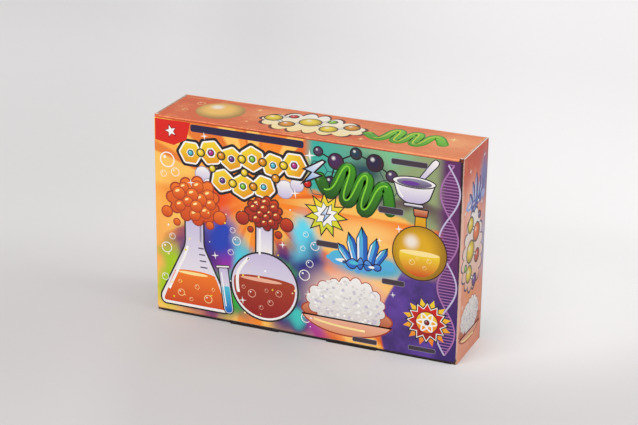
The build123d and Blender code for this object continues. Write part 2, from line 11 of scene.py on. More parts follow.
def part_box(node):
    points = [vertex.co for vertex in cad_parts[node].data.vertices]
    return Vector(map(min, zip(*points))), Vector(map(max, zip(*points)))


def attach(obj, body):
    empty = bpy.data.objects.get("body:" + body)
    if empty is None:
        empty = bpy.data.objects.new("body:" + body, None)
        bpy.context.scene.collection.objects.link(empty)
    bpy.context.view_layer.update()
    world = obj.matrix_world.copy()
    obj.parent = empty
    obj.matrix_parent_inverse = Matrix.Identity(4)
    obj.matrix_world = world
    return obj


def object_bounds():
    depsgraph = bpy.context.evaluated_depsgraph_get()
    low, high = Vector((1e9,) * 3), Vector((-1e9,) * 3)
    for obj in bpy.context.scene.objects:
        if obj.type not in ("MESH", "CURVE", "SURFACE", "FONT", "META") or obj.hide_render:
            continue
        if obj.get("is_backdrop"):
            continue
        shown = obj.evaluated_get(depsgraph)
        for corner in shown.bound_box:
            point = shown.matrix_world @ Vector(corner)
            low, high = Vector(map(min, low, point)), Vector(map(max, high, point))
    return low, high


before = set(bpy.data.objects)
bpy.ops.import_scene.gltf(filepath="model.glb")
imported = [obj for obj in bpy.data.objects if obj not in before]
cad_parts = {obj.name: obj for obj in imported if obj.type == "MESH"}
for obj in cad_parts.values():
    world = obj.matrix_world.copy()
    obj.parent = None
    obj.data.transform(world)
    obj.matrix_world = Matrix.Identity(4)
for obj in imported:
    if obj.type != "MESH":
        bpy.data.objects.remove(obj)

bl_info = {
    "name": "Chemistry set case",
    "version": (1, 0, 0),
    "blender": (4, 5, 0),
    "location": "3D View > Sidebar > Chemistry Case",
    "description": "Prints and finishes a chemistry set case round its fixed frame",
    "category": "Object",
}

MM = 0.001
CAD_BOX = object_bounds()


def node_box(name):
    """Lowest corner, highest corner and middle of a CAD node at rest, in mm."""
    low, high = (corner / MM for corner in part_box(name))
    return low, high, (low + high) / 2


LID_LOW, LID_HIGH, _ = node_box("lid_panel")
END_LOW, END_HIGH, _ = node_box("right_end_wall")
TOP_HIGH = node_box("top_wall")[1]
LID_OUT = LID_LOW.y
HALF_LID = LID_HIGH.x
TOP_HALF = TOP_HIGH.x
TOP_OUT = TOP_HIGH.z
BACK_OUT = node_box("back_panel")[1].y
END_OUT = END_HIGH.x
END_FRONT = END_LOW.y
CASE_H = END_HIGH.z
LINER_IN = node_box("right_end_liner")[0].x
DECK_FACE = node_box("insert_deck")[0].y
BOARD = 1.5
LEAF = 0.16             # mm from one leaf of the booklet to the next
FACE_SLACK = 0.06       # mm, how near a place counts as on a raw face
WRAP = 0.9              # mm of board edge that the print carries round at a fold
SEAT = 0.01             # mm that an ink shape reaches into the board
INK_STEP = 0.011        # mm that an ink shape lies above the one under it
CELL = 1.0              # mm, fineness of the test of what lies on what
INK_LIMIT = 0.27        # mm, under the cut edges that stand proud
THROUGH = 900.0         # mm, radius of a wash of colour along the way it goes through the board


# ---------------------------------------------------------------- colours
def paint(red, green, blue):
    """Linear colour of a printer's 0-255 tint."""
    def linear(part):
        part /= 255
        return part / 12.92 if part <= 0.04045 else ((part + 0.055) / 1.055) ** 2.4
    return (linear(red), linear(green), linear(blue), 1.0)


def between(first, second, share):
    return tuple(a + (b - a) * share for a, b in zip(first, second))


INK = {
    "line": paint(26, 16, 24),
    "brown_line": paint(92, 34, 18),
    "white": paint(244, 240, 236),
    "lilac": paint(196, 184, 216),
    "chalk": paint(208, 202, 198),
    "grey": paint(150, 142, 168),
    "cream": paint(252, 226, 150),
    "yellow": paint(242, 210, 44),
    "gold": paint(222, 168, 14),
    "maize": paint(244, 192, 96),
    "amber": paint(226, 148, 8),
    "orange": paint(240, 118, 30),
    "rust": paint(204, 68, 18),
    "red": paint(216, 24, 10),
    "crimson": paint(146, 18, 24),
    "brick": paint(164, 56, 26),
    "skin": paint(224, 148, 106),
    "rose": paint(236, 176, 148),
    "green": paint(62, 148, 20),
    "leaf": paint(128, 204, 44),
    "forest": paint(26, 78, 12),
    "lime": paint(204, 212, 42),
    "deep_teal": paint(24, 58, 78),
    "cyan": paint(72, 192, 212),
    "sky": paint(90, 152, 224),
    "blue": paint(28, 94, 184),
    "navy": paint(34, 24, 62),
    "indigo": paint(48, 40, 120),
    "violet": paint(104, 52, 148),
    "magenta": paint(188, 36, 138),
    "mauve": paint(166, 108, 166),
    "plum": paint(70, 30, 84),
    "dusk": paint(74, 56, 92),
    "mole": paint(62, 50, 60),
}
BLACK = (0.0, 0.0, 0.0, 1.0)
GREY = (0.5, 0.5, 0.5, 1.0)
WHITE = (1.0, 1.0, 1.0, 1.0)
DUST = (0.82, 0.78, 0.74, 1.0)


class CartonFinish(bpy.types.PropertyGroup):
    """Board and print of the carton."""
    flute_pitch: FloatProperty(name="Flute pitch", description="Distance between two flutes of the board",
                               default=2.4 * MM, unit="LENGTH")
    ridge: FloatProperty(name="Washboarding", description="How far the flutes and dents show in the print",
                         default=0.2, subtype="FACTOR", min=0, max=1)
    wear: FloatProperty(name="Edge wear", description="Share of a fold's crest that has lost its ink",
                        default=0.6, subtype="FACTOR", min=0, max=1)
    gloss: FloatProperty(name="Laminate gloss", description="Weight of the clear film over the print",
                         default=0.22, subtype="FACTOR", min=0, max=1)
    liner: FloatVectorProperty(name="Liner", description="Unprinted side of the board", subtype="COLOR",
                               size=4, default=paint(216, 209, 198))
    cut: FloatVectorProperty(name="Cut edge", description="Raw edge of the board", subtype="COLOR",
                             size=4, default=paint(246, 240, 230))


class KitFinish(bpy.types.PropertyGroup):
    red_cap: FloatVectorProperty(name="Cap of jar 1", description="Moulded colour", subtype="COLOR", size=4,
                                 default=paint(204, 34, 26))
    blue_cap: FloatVectorProperty(name="Cap of jar 2", description="Moulded colour", subtype="COLOR", size=4,
                                  default=paint(32, 88, 190))
    green_cap: FloatVectorProperty(name="Cap of jar 3", description="Moulded colour", subtype="COLOR", size=4,
                                   default=paint(44, 146, 62))
    moulded: FloatVectorProperty(name="White plastic", description="Jars, spatula and goggle frame",
                                 subtype="COLOR", size=4, default=paint(232, 231, 226))


class StageSettings(bpy.types.PropertyGroup):
    """Floor, light and camera."""
    floor: FloatVectorProperty(name="Floor", description="Colour of the floor and backdrop", subtype="COLOR",
                               size=4, default=paint(199, 196, 196))
    key_power: FloatProperty(name="Key light", description="Power of the big soft light in front and above",
                             default=29.0, unit="POWER")
    fill_power: FloatProperty(name="Fill light", description="Power of the light from the right end",
                              default=12.0, unit="POWER")
    surround: FloatProperty(name="Surround", description="Strength of the even light from all round",
                            default=0.5)
    lens: FloatProperty(name="Lens", description="Focal length on a 36 mm sensor, in mm", default=107.81)


# ---------------------------------------------------------------- shader sketching
def step_of(operation, swapped=False):
    """Operator of a Value that places one math node."""
    def apply(value, *others):
        return value.sketch.math(operation, *((*others, value) if swapped else (value, *others)))
    return apply


class Value:
    """Socket of a shader tree that plain arithmetic works on. Masks meet with * and join with |."""
    __add__ = step_of("ADD")
    __radd__ = step_of("ADD", swapped=True)
    __sub__ = step_of("SUBTRACT")
    __rsub__ = step_of("SUBTRACT", swapped=True)
    __mul__ = step_of("MULTIPLY")
    __truediv__ = step_of("DIVIDE")
    __abs__ = step_of("ABSOLUTE")
    __or__ = step_of("MAXIMUM")
    sine = step_of("SINE")

    def __init__(self, sketch, socket):
        self.sketch = sketch
        self.socket = socket

    def fade(self, low, high):
        """0 up to low and 1 from high, with a soft step between; low may be above high."""
        ends = (low, high, 0.0, 1.0) if low <= high else (high, low, 1.0, 0.0)
        return self.sketch.call("ShaderNodeMapRange", (self, *ends), interpolation_type="SMOOTHSTEP")

    def above(self, edge):
        return self.fade(edge - 0.03, edge + 0.03)

    def below(self, edge):
        return self.fade(edge + 0.03, edge - 0.03)


class Sketch:
    """Short calls that place and join the nodes of one shader tree."""

    def __init__(self, tree):
        self.tree = tree

    def node(self, kind, **settings):
        made = self.tree.nodes.new(kind)
        for key, value in settings.items():
            setattr(made, key, value)
        return made

    def feed(self, socket, value):
        if isinstance(value, Value):
            self.tree.links.new(value.socket, socket)
        elif value is not None:
            socket.default_value = value

    def call(self, kind, values=(), output=0, **settings):
        made = self.node(kind, **settings)
        for socket, value in zip(made.inputs, values):
            self.feed(socket, value)
        return Value(self, made.outputs[output])

    def named(self, made, output=0, **values):
        """Feeds a node's sockets by their names, with _ for a space."""
        for name, value in values.items():
            self.feed(made.inputs[name.replace("_", " ")], value)
        return Value(self, made.outputs[output])

    def math(self, operation, *values, clamp=False):
        return self.call("ShaderNodeMath", values, operation=operation, use_clamp=clamp)

    def vector(self, operation, *values, output=0):
        return self.call("ShaderNodeVectorMath", values, output, operation=operation)

    def mix(self, factor, first, second):
        made = self.node("ShaderNodeMix", data_type="RGBA")
        for socket, value in zip((made.inputs[0], made.inputs[6], made.inputs[7]), (factor, first, second)):
            self.feed(socket, value)
        return Value(self, made.outputs[2])

    def place(self):
        """Position on the object, in millimetres."""
        return self.vector("MULTIPLY", self.call("ShaderNodeTexCoord", output="Object"), (1 / MM,) * 3)

    def parts(self, vector):
        made = self.node("ShaderNodeSeparateXYZ")
        self.feed(made.inputs[0], vector)
        return tuple(Value(self, socket) for socket in made.outputs)

    def noise(self, vector, scale, detail=2.0, roughness=0.5, stretch=None, output=0):
        """Cloudy variation: output 0 is a number and output 1 a colour."""
        if stretch:
            vector = self.vector("MULTIPLY", vector, stretch)
        return self.named(self.node("ShaderNodeTexNoise"), output, Vector=vector, Scale=scale, Detail=detail,
                          Roughness=roughness)

    def bump(self, height, strength, distance=MM):
        return self.named(self.node("ShaderNodeBump"), Strength=strength, Distance=distance, Height=height)

    def effect(self, group, **values):
        made = self.node("ShaderNodeGroup")
        made.node_tree = group
        self.named(made, **values)
        return [Value(self, socket) for socket in made.outputs]


def reach(*offsets):
    """Length of an offset in the shader, from its parts along the axes."""
    sketch = offsets[0].sketch
    return sketch.vector("LENGTH", sketch.call("ShaderNodeCombineXYZ", offsets), output=1)


def flutes(run):
    """Wave of the board's flutes, from -1 to 1."""
    return (run * (tau * MM / bpy.context.scene.carton_finish.flute_pitch)).sine()


SKIN = {"Colour": "Color", "Roughness": "Float", "Normal": "Vector"}      # outputs of a whole skin


def effect_group(name, inputs, outputs, draw):
    """Shader node group, built once; inputs and outputs are {name: socket kind}."""
    if name in bpy.data.node_groups:
        return bpy.data.node_groups[name]
    group = bpy.data.node_groups.new(name, "ShaderNodeTree")
    for in_out, sockets in (("INPUT", inputs), ("OUTPUT", outputs)):
        for label, kind in sockets.items():
            group.interface.new_socket(name=label, in_out=in_out, socket_type=f"NodeSocket{kind}")
    sketch = Sketch(group)
    start = sketch.node("NodeGroupInput").outputs
    results = draw(sketch, *(Value(sketch, start[label]) for label in inputs))
    end = sketch.node("NodeGroupOutput").inputs
    for label, value in zip(outputs, results):
        sketch.feed(end[label], value)
    return group


def colour_patch():
    """A soft oval of one colour laid into another, round a place in the print."""
    def draw(sketch, base, patch, spot, centre, radii, soft):
        offset = sketch.vector("DIVIDE", sketch.vector("SUBTRACT", spot, centre), radii)
        away = sketch.vector("LENGTH", offset, output=1)
        fade = sketch.call("ShaderNodeMapRange", (away, 1.0 - soft, 1.0, 1.0, 0.0),
                           interpolation_type="SMOOTHSTEP")
        return (sketch.mix(fade, base, patch),)
    inputs = {"Base": "Color", "Patch": "Color", "Spot": "Vector", "Centre": "Vector", "Radii": "Vector",
              "Soft": "Float"}
    return effect_group("colour patch", inputs, {"Colour": "Color"}, draw)


def ray_fan():
    """Rays that fan out from one place: a mask of the lit ones."""
    def draw(sketch, across, up, count, sharpness):
        angle = sketch.math("ARCTAN2", up, across)
        wave = (angle * count + (angle * 7.0).sine()).sine()
        edge = sketch.math("MULTIPLY_ADD", wave, sharpness, 0.5, clamp=True)
        return (edge * reach(across, up).fade(8.0, 60.0),)
    inputs = {"Across": "Float", "Up": "Float", "Count": "Float", "Sharpness": "Float"}
    return effect_group("ray fan", inputs, {"Lit": "Float"}, draw)


def laminated_board():
    """Clear film on fluted board: faint ridges, soft dents, hairline scuffs and dust."""
    def draw(sketch, colour, run, scuff):
        spot = sketch.place()
        dent = sketch.noise(spot, 0.03, 3.0, 0.45)
        grain = sketch.noise(spot, 1.3, 3.0, 0.6)
        hair = sketch.noise(spot, 1.1, 4.0, 0.7, stretch=(0.9, 0.9, 0.14)).fade(0.64, 0.8)
        height = flutes(run) * 0.016 + dent * 1.5 + grain * 0.008
        tone = sketch.mix(grain * 0.08, colour, BLACK)
        tone = sketch.mix(hair * scuff * 0.12, tone, DUST)
        rough = 0.26 + grain * 0.12 + hair * 0.12
        return tone, rough, sketch.bump(height, bpy.context.scene.carton_finish.ridge)
    return effect_group("laminated board", {"Colour": "Color", "Run": "Float", "Scuff": "Float"}, SKIN, draw)


def fold_wear():
    """Ink lost along a fold. Distance is in mm from its crest, Reach how far the chips go."""
    def draw(sketch, colour, worn, distance, width, amount):
        chips = sketch.noise(sketch.place(), 0.5, 5.0, 0.65)
        near = sketch.math("SUBTRACT", 1.0, distance / width, clamp=True)
        loss = near + (chips - 0.5) * 1.6
        return (sketch.mix(loss.fade(0.55, 0.9) * amount * near.fade(0.0, 0.2), colour, worn),)
    inputs = {"Colour": "Color", "Worn": "Color", "Distance": "Float", "Reach": "Float", "Amount": "Float"}
    return effect_group("fold wear", inputs, {"Colour": "Color"}, draw)


def cut_board():
    """Raw edge of fluted board: two liners and the wave between, with the open hollows painted as dark shade.
    Across is 0 to 1 through the board.
    """
    def draw(sketch, run, across):
        crest = flutes(run) * 0.3 + 0.5
        paper = abs(across - crest).fade(0.14, 0.05) | abs(across - 0.5).fade(0.1, 0.17)
        fibre = sketch.noise(sketch.place(), 3.0, 3.0, 0.7)
        pale = sketch.mix(fibre * 0.6, tuple(bpy.context.scene.carton_finish.cut), paint(236, 222, 202))
        return (sketch.mix(paper, paint(84, 54, 44), pale),)
    # Painted shade: the open hollows between the paper are a fixed dark brown
    return effect_group("cut board", {"Run": "Float", "Across": "Float"}, {"Colour": "Color"}, draw)


def moulded_skin():
    """Moulded plastic: faint flow marks, fine speckle and handling marks."""
    def draw(sketch, colour, speckle):
        spot = sketch.place()
        flow = sketch.noise(spot, 1.0, 3.0, 0.6, stretch=(0.12, 0.12, 0.5))
        fine = sketch.noise(spot, 5.0, 3.0, 0.7)
        marks = sketch.noise(spot, 0.8, 4.0, 0.7, stretch=(1.0, 0.1, 0.7)).fade(0.6, 0.75)
        tone = sketch.mix(flow * 0.14, colour, BLACK)
        tone = sketch.mix(marks * 0.06, tone, WHITE)
        rough = 0.27 + fine * 0.16 + marks * 0.1
        return tone, rough, sketch.bump(fine * speckle + flow * 0.4, 0.12)
    return effect_group("moulded skin", {"Colour": "Color", "Speckle": "Float"}, SKIN, draw)


# ---------------------------------------------------------------- materials of the board and print
def finish(name, build):
    """Material of that name; build(sketch, shader) draws it the first time."""
    made = bpy.data.materials.get("finish_" + name)
    if made is None:
        made = bpy.data.materials.new("finish_" + name)
        made.use_nodes = True
        made.node_tree.nodes.clear()
        sketch = Sketch(made.node_tree)
        shader = sketch.node("ShaderNodeBsdfPrincipled")
        result = sketch.node("ShaderNodeOutputMaterial")
        sketch.feed(result.inputs["Surface"], Value(sketch, shader.outputs[0]))
        build(sketch, shader)
    return made


def surface(sketch, shader, outputs, **constants):
    """Joins an effect's colour, roughness and normal to the shader; constants are its own socket values."""
    for socket, value in zip(("Base Color", "Roughness", "Normal"), outputs):
        sketch.feed(shader.inputs[socket], value)
    sketch.named(shader, **constants)


def film(sketch, shader, colour, run):
    """Lays the clear film over a print."""
    surface(sketch, shader, sketch.effect(laminated_board(), Colour=colour, Run=run, Scuff=1.0),
            Coat_Weight=bpy.context.scene.carton_finish.gloss, Coat_Roughness=0.18, Specular_IOR_Level=0.3)


def ink_material(axis, ball):
    """Ink of the drawn shapes; ball shades it like a glossy ball by the shape's own map."""
    def build(sketch, shader):
        tint = sketch.call("ShaderNodeAttribute", output="Color", attribute_name="tint")
        if ball:
            across = sketch.call("ShaderNodeUVMap", uv_map="across")
            from_middle = sketch.vector("DISTANCE", across, (0.44, 0.56, 0.0), output=1)
            from_glint = sketch.vector("DISTANCE", across, (0.34, 0.7, 0.0), output=1)
            shade = sketch.mix(0.62, tint, (0.05, 0.01, 0.0, 1.0))
            tint = sketch.mix(from_middle.fade(0.2, 0.6), tint, shade)
            tint = sketch.mix(from_glint.fade(0.2, 0.03) * 0.8, tint, INK["white"])
        film(sketch, shader, tint, sketch.parts(sketch.place())["XYZ".index(axis)])
    return finish(f"{'ball' if ball else 'flat'}_ink_{axis.lower()}", build)


def washes(sketch, spot, base, flat, patches):
    """Soft ovals of colour laid one on another: (tint, centre, radii, softness), in mm on a flat face.

    flat is the axis that the face lies square to, and where along it the washes are centred.
    """
    axis, level = "xyz".index(flat[0]), flat[1]
    for tint, (u, v), (radius_u, radius_v), soft in patches:
        centre, radii = [u, v], [radius_u, radius_v]
        centre.insert(axis, level)
        radii.insert(axis, THROUGH)
        base = sketch.effect(colour_patch(), Base=base, Patch=paint(*tint), Spot=spot, Centre=centre,
                             Radii=radii, Soft=soft)[0]
    return base


def board_material(name, axis, artwork, printed, raw=None, across=None, crests=()):
    """Board whose print, liner and raw edges are told apart by place.

    printed, raw and across are functions of (x, y, z), artwork of (sketch, spot, x, y, z). Each crest
    is (function for the distance from it, how far its wear goes, colour under the ink).
    """
    def build(sketch, shader):
        wear = bpy.context.scene.carton_finish.wear
        spot = sketch.place()
        here = sketch.parts(spot)
        run = here["XYZ".index(axis)] if axis in "XYZ" else here[0] + here[1]
        colour = artwork(sketch, spot, *here)
        for distance, width, worn in crests:
            colour = sketch.effect(fold_wear(), Colour=colour, Worn=worn, Distance=distance(*here),
                                   Reach=width, Amount=wear)[0]
        fibre = sketch.noise(spot, 0.9, 4.0, 0.7)
        liner = sketch.mix(fibre * 0.35, tuple(bpy.context.scene.carton_finish.liner), paint(178, 166, 150))
        colour = sketch.mix(printed(*here), liner, colour)
        if raw:
            edge = sketch.effect(cut_board(), Run=run, Across=across(*here))[0]
            colour = sketch.mix(raw(*here), colour, edge)
        film(sketch, shader, colour, run)
    return finish(name, build)


def finish_node(name, material):
    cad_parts[name].data.materials[0] = material


# ---------------------------------------------------------------- printed sheets
FACINGS = {             # across the face, up it, and the axis that the flutes' ridges are counted along
    "front": ((1, 0, 0), (0, 0, 1), "X"),
    "back": ((-1, 0, 0), (0, 0, 1), "X"),
    "top": ((1, 0, 0), (0, 1, 0), "X"),
    "right": ((0, 1, 0), (0, 0, 1), "Y"),
    "left": ((0, -1, 0), (0, 0, 1), "Y"),
}


def ink_layers(shape):
    """Places for the tint and for each shape's own map."""
    shape.loops.layers.float_color.new("tint")
    shape.loops.layers.uv.new("across")


def placed(u, v, turn=0.0):
    return Matrix.Translation((u, v, 0)) @ Matrix.Rotation(radians(turn), 4, "Z")


def swept(paths, merge, **settings):
    """Solid lines of even section that run smoothly along lists of points."""
    curve = bpy.data.curves.new("path", "CURVE")
    curve.dimensions = "3D"
    curve.use_fill_caps = True
    for key, value in settings.items():
        setattr(curve, key, value)
    for points in paths:
        path = curve.splines.new("NURBS")
        path.points.add(len(points) - 1)
        for point, spot in zip(path.points, points):
            point.co = (*spot, 1)
        path.order_u = 3
        path.use_endpoint_u = True
    carrier = bpy.data.objects.new("path", curve)
    flat = bpy.data.meshes.new_from_object(carrier)
    made = bmesh.new()
    made.from_mesh(flat)
    bpy.data.objects.remove(carrier)
    bpy.data.curves.remove(curve)
    bpy.data.meshes.remove(flat)
    bmesh.ops.remove_doubles(made, verts=made.verts[:], dist=merge)
    return made


class Sheet:
    """Closed, hair-thin shapes of ink on one flat face.

    They are measured in mm across and up the face from its origin, and stay within its limits.
    """

    def __init__(self, name, facing, origin, limits, body, slot):
        self.name = name
        self.slot = slot
        self.limits = limits
        self.body = body
        across, up, self.ridge_axis = FACINGS[facing]
        out = Vector(across).cross(Vector(up))
        turn = Matrix((across, up, out)).transposed().to_4x4()
        self.frame = Matrix.Scale(MM, 4) @ Matrix.Translation(origin) @ turn
        self.mesh = bmesh.new()
        ink_layers(self.mesh)
        self.laid = {}
        self.strayed = set()

    def pen(self):
        return Pen(self, Matrix.Identity(4))

    def height(self, shape):
        """Height for a flat shape: just over everything that was laid under it."""
        for vert in shape.verts:
            if not all(low <= value <= high for value, (low, high) in zip(vert.co, self.limits)):
                self.strayed.add(tuple(round(value) for value in vert.co.xy))
        spots = set()
        for edge in shape.edges:
            start, run = edge.verts[0].co, edge.verts[1].co - edge.verts[0].co
            steps = int(run.length / CELL) + 1
            spots.update(self.cell(start + run * step / steps) for step in range(steps + 1))
        for triangle in shape.calc_loop_triangles():
            a, b, c = (loop.vert.co.xy for loop in triangle)
            low, high = self.cell(Vector(map(min, a, b, c))), self.cell(Vector(map(max, a, b, c)))
            spots.update((i, j) for i in range(low[0], high[0] + 1) for j in range(low[1], high[1] + 1)
                         if intersect_point_tri_2d(((i + 0.5) * CELL, (j + 0.5) * CELL), a, b, c))
        level = max(self.laid.get(spot, 0) for spot in spots) + 1
        if level * INK_STEP > INK_LIMIT:
            raise RuntimeError(f"{self.name}: more than {level - 1} shapes lie on one another at {start}")
        self.laid.update(dict.fromkeys(spots, level))
        return level * INK_STEP

    def cell(self, spot):
        return int(spot[0] // CELL), int(spot[1] // CELL)

    def take(self, shape):
        """Adds one finished shape."""
        bmesh.ops.recalc_face_normals(shape, faces=shape.faces[:])
        part = bpy.data.meshes.new("shape")
        shape.to_mesh(part)
        shape.free()
        self.mesh.from_mesh(part)
        bpy.data.meshes.remove(part)

    def finish(self):
        if self.strayed:
            raise RuntimeError(f"{self.name}: shapes leave their face near {sorted(self.strayed)}")
        self.mesh.transform(self.frame)
        inks = [ink_material(self.ridge_axis, ball) for ball in (False, True)]
        new_piece(self.name, self.mesh, inks, self.body)


class Pen:
    """Draws on a sheet from one place, at one size and turn.

    A tint is the name of an ink, or a (low, high) pair that blends up the shape.
    """

    def __init__(self, sheet, place):
        self.sheet = sheet
        self.place = place

    def at(self, across, up, scale=1.0, turn=0.0):
        return Pen(self.sheet, self.place @ placed(across, up, turn) @ Matrix.Scale(scale, 4))

    def ink(self, shape, faces, tint, ball=False):
        """Writes the tint and the shape's own map, which runs from 0 to 1 over the whole shape."""
        low = Vector(min(v.co[i] for v in shape.verts) for i in range(2))
        high = Vector(max(v.co[i] for v in shape.verts) for i in range(2))
        ends = tint if isinstance(tint, tuple) else (tint, tint)
        tints = shape.loops.layers.float_color["tint"]
        across = shape.loops.layers.uv["across"]
        for face in faces:
            face.material_index = int(ball)
            for loop in face.loops:
                u = (loop.vert.co.x - low.x) / max(high.x - low.x, 1e-6)
                v = (loop.vert.co.y - low.y) / max(high.y - low.y, 1e-6)
                loop[tints] = between(INK[ends[0]], INK[ends[1]], v)
                loop[across].uv = (u, v)

    def raise_flat(self, shape, fill, line, width, ball=False):
        """Outlines, inks and thickens a flat shape for the sheet. Without a fill only its rim stays."""
        ink_layers(shape)
        self.ink(shape, shape.faces, fill or line, ball)
        if line:
            rim = bmesh.ops.inset_region(shape, faces=shape.faces[:], thickness=width, use_even_offset=True,
                                         use_boundary=True)["faces"]
            self.ink(shape, rim, line)
            if not fill:
                bmesh.ops.delete(shape, geom=list(set(shape.faces) - set(rim)), context="FACES_ONLY")
        shape.transform(self.place)
        top = self.sheet.height(shape)
        made = bmesh.ops.extrude_face_region(shape, geom=shape.faces[:])["geom"]
        raised = {v for v in made if isinstance(v, bmesh.types.BMVert)}
        for v in shape.verts:
            v.co.z = top if v in raised else -SEAT
        self.sheet.take(shape)

    def disc(self, u, v, radius, fill, line=None, width=0.0, squash=1.0, turn=0.0, ball=False, cut=None):
        """Round or oval; cut keeps only what lies under that height above its middle."""
        shape = bmesh.new()
        sides = int(8 + radius * self.place.to_scale().x * 2.2)
        bmesh.ops.create_circle(shape, cap_ends=True, segments=max(10, min(48, sides)), radius=radius)
        bmesh.ops.scale(shape, vec=(1, squash, 1), verts=shape.verts[:])
        if cut is not None:
            bmesh.ops.bisect_plane(shape, geom=shape.verts[:] + shape.edges[:] + shape.faces[:],
                                   plane_co=(0, cut, 0), plane_no=(0, 1, 0), clear_outer=True)
        shape.transform(placed(u, v, turn))
        self.raise_flat(shape, fill, line, width, ball)

    def patch(self, corners, fill, round_by=0.0, line=None, width=0.0):
        """Polygon whose corners are rounded off by round_by."""
        shape = bmesh.new()
        shape.faces.new([shape.verts.new((u, v, 0)) for u, v in corners])
        shape.normal_update()
        if round_by:
            bmesh.ops.bevel(shape, geom=shape.verts[:], offset=round_by, affect="VERTICES", segments=4,
                            profile=0.5, material=-1, clamp_overlap=True)
        self.raise_flat(shape, fill, line, width)

    def bar(self, u, v, width, height, fill, round_by=0.0, line=None, edge=0.0):
        left, right, low, high = u - width / 2, u + width / 2, v - height / 2, v + height / 2
        self.patch([(left, low), (right, low), (right, high), (left, high)], fill, round_by, line, edge)

    def star(self, u, v, outer, inner, points, fill, line=None, width=0.0, turn=0.0):
        shape = bmesh.new()
        tips = bmesh.ops.create_circle(shape, cap_ends=True, segments=2 * points, radius=outer)["verts"]
        bmesh.ops.scale(shape, vec=(inner / outer,) * 3, verts=tips[1::2])
        shape.transform(placed(u, v, turn))
        self.raise_flat(shape, fill, line, width)

    def ribbon(self, points, width, fill):
        """Line of even width along a smooth path."""
        shape = swept([[(u, v, 0) for u, v in points]], 1e-5, twist_mode="Z_UP", resolution_u=5,
                      bevel_depth=width / 2, bevel_resolution=1, extrude=width)
        ink_layers(shape)
        self.ink(shape, shape.faces, fill)
        shape.transform(self.place)
        top = self.sheet.height(shape)
        for v in shape.verts:
            v.co.z = top if v.co.z > 0 else -SEAT
        self.sheet.take(shape)


def new_piece(name, mesh, materials, body):
    """Object at the origin from a bmesh in metres, riding on a CAD body."""
    data = bpy.data.meshes.new(name)
    mesh.to_mesh(data)
    mesh.free()
    made = bpy.data.objects.new(name, data)
    bpy.context.scene.collection.objects.link(made)
    for material in materials:
        data.materials.append(material)
    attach(made, body)


# ---------------------------------------------------------------- motifs of the print
def bond(pen, start, end, width):
    """Straight rod between two places."""
    run = end - start
    turned = pen.at(*((start + end) / 2), turn=-degrees(Vector((1, 0)).angle_signed(run)))
    turned.bar(0, 0, run.length, width, "white", 0, "line", 0.8)


def ring(pen, u, v, radius, width, fill, squash=1.0, turn=0.0):
    pen.disc(u, v, radius + width / 2, None, fill, width, squash, turn)


def bubble(pen, u, v, radius, rim="white"):
    ring(pen, u, v, radius, radius * 0.16, rim)
    pen.disc(u - radius * 0.35, v + radius * 0.35, radius * 0.2, "white")


def bubbles(pen, places, rim="white"):
    for place in places:
        bubble(pen, *place, rim)


def lumps(pen, places, fill, line, width):
    for place in places:
        pen.disc(*place, fill, line, width)


def ball(pen, u, v, radius, tint):
    """Glossy ball with a fine outline."""
    pen.disc(u, v, radius, tint, "line", min(1.1, radius * 0.25), ball=True)


def molecule(pen, atoms, bonds, width):
    """Balls joined by rods: atoms are (u, v, radius, ink), bonds are pairs of their numbers."""
    for first, second in bonds:
        a, b = Vector(atoms[first][:2]), Vector(atoms[second][:2])
        way = (b - a).normalized()
        bond(pen, a + way * atoms[first][2] * 0.8, b - way * atoms[second][2] * 0.8, width)
    for u, v, radius, tint in atoms:
        ball(pen, u, v, radius, tint)


def puff(pen, u, v, radius, lobes, fill, line=None, width=0.0, squash=1.0, bulge=0.16):
    """Cloud or foam with a scalloped edge of nearly even lobes."""
    shape = bmesh.new()
    rim = bmesh.ops.create_circle(shape, cap_ends=True, segments=lobes * 6, radius=radius)["verts"]
    for step, vert in enumerate(rim):
        angle = step * tau / len(rim)
        angle += 0.5 * (1 - squash) / (1 + squash) * sin(2 * angle)
        out = Vector((cos(angle), sin(angle), 0))
        lobe = bulge * (abs(sin(pi * step / 6)) ** 0.7 - 0.7) + 0.05 * sin(step * tau * 3 / len(rim) + lobes)
        oval = Vector((out.x, out.y * squash, 0)) * radius
        vert.co = oval + Vector((out.x * squash, out.y, 0)) * radius * lobe
    shape.transform(placed(u, v))
    pen.raise_flat(shape, fill, line, width)


def foam(pen, u, v, radius, low, high, line, seed):
    """Heap of foam: a scalloped mass with rounder lumps on it."""
    dice = random.Random(seed)
    puff(pen, u, v, radius, 11, (low, high), line, 1.5, 0.86)
    for share, count in ((0.62, 8), (0.25, 4)):
        for step in range(count):
            angle = step * tau / count + dice.uniform(-0.2, 0.2) + share
            size = radius * dice.uniform(0.2, 0.26)
            a, b = u + share * radius * cos(angle), v + 0.84 * share * radius * sin(angle)
            pen.disc(a, b, size, (low, high), line, 0.8)
            pen.disc(a - size * 0.2, b + size * 0.35, size * 0.36, "cream", squash=0.5, turn=25)


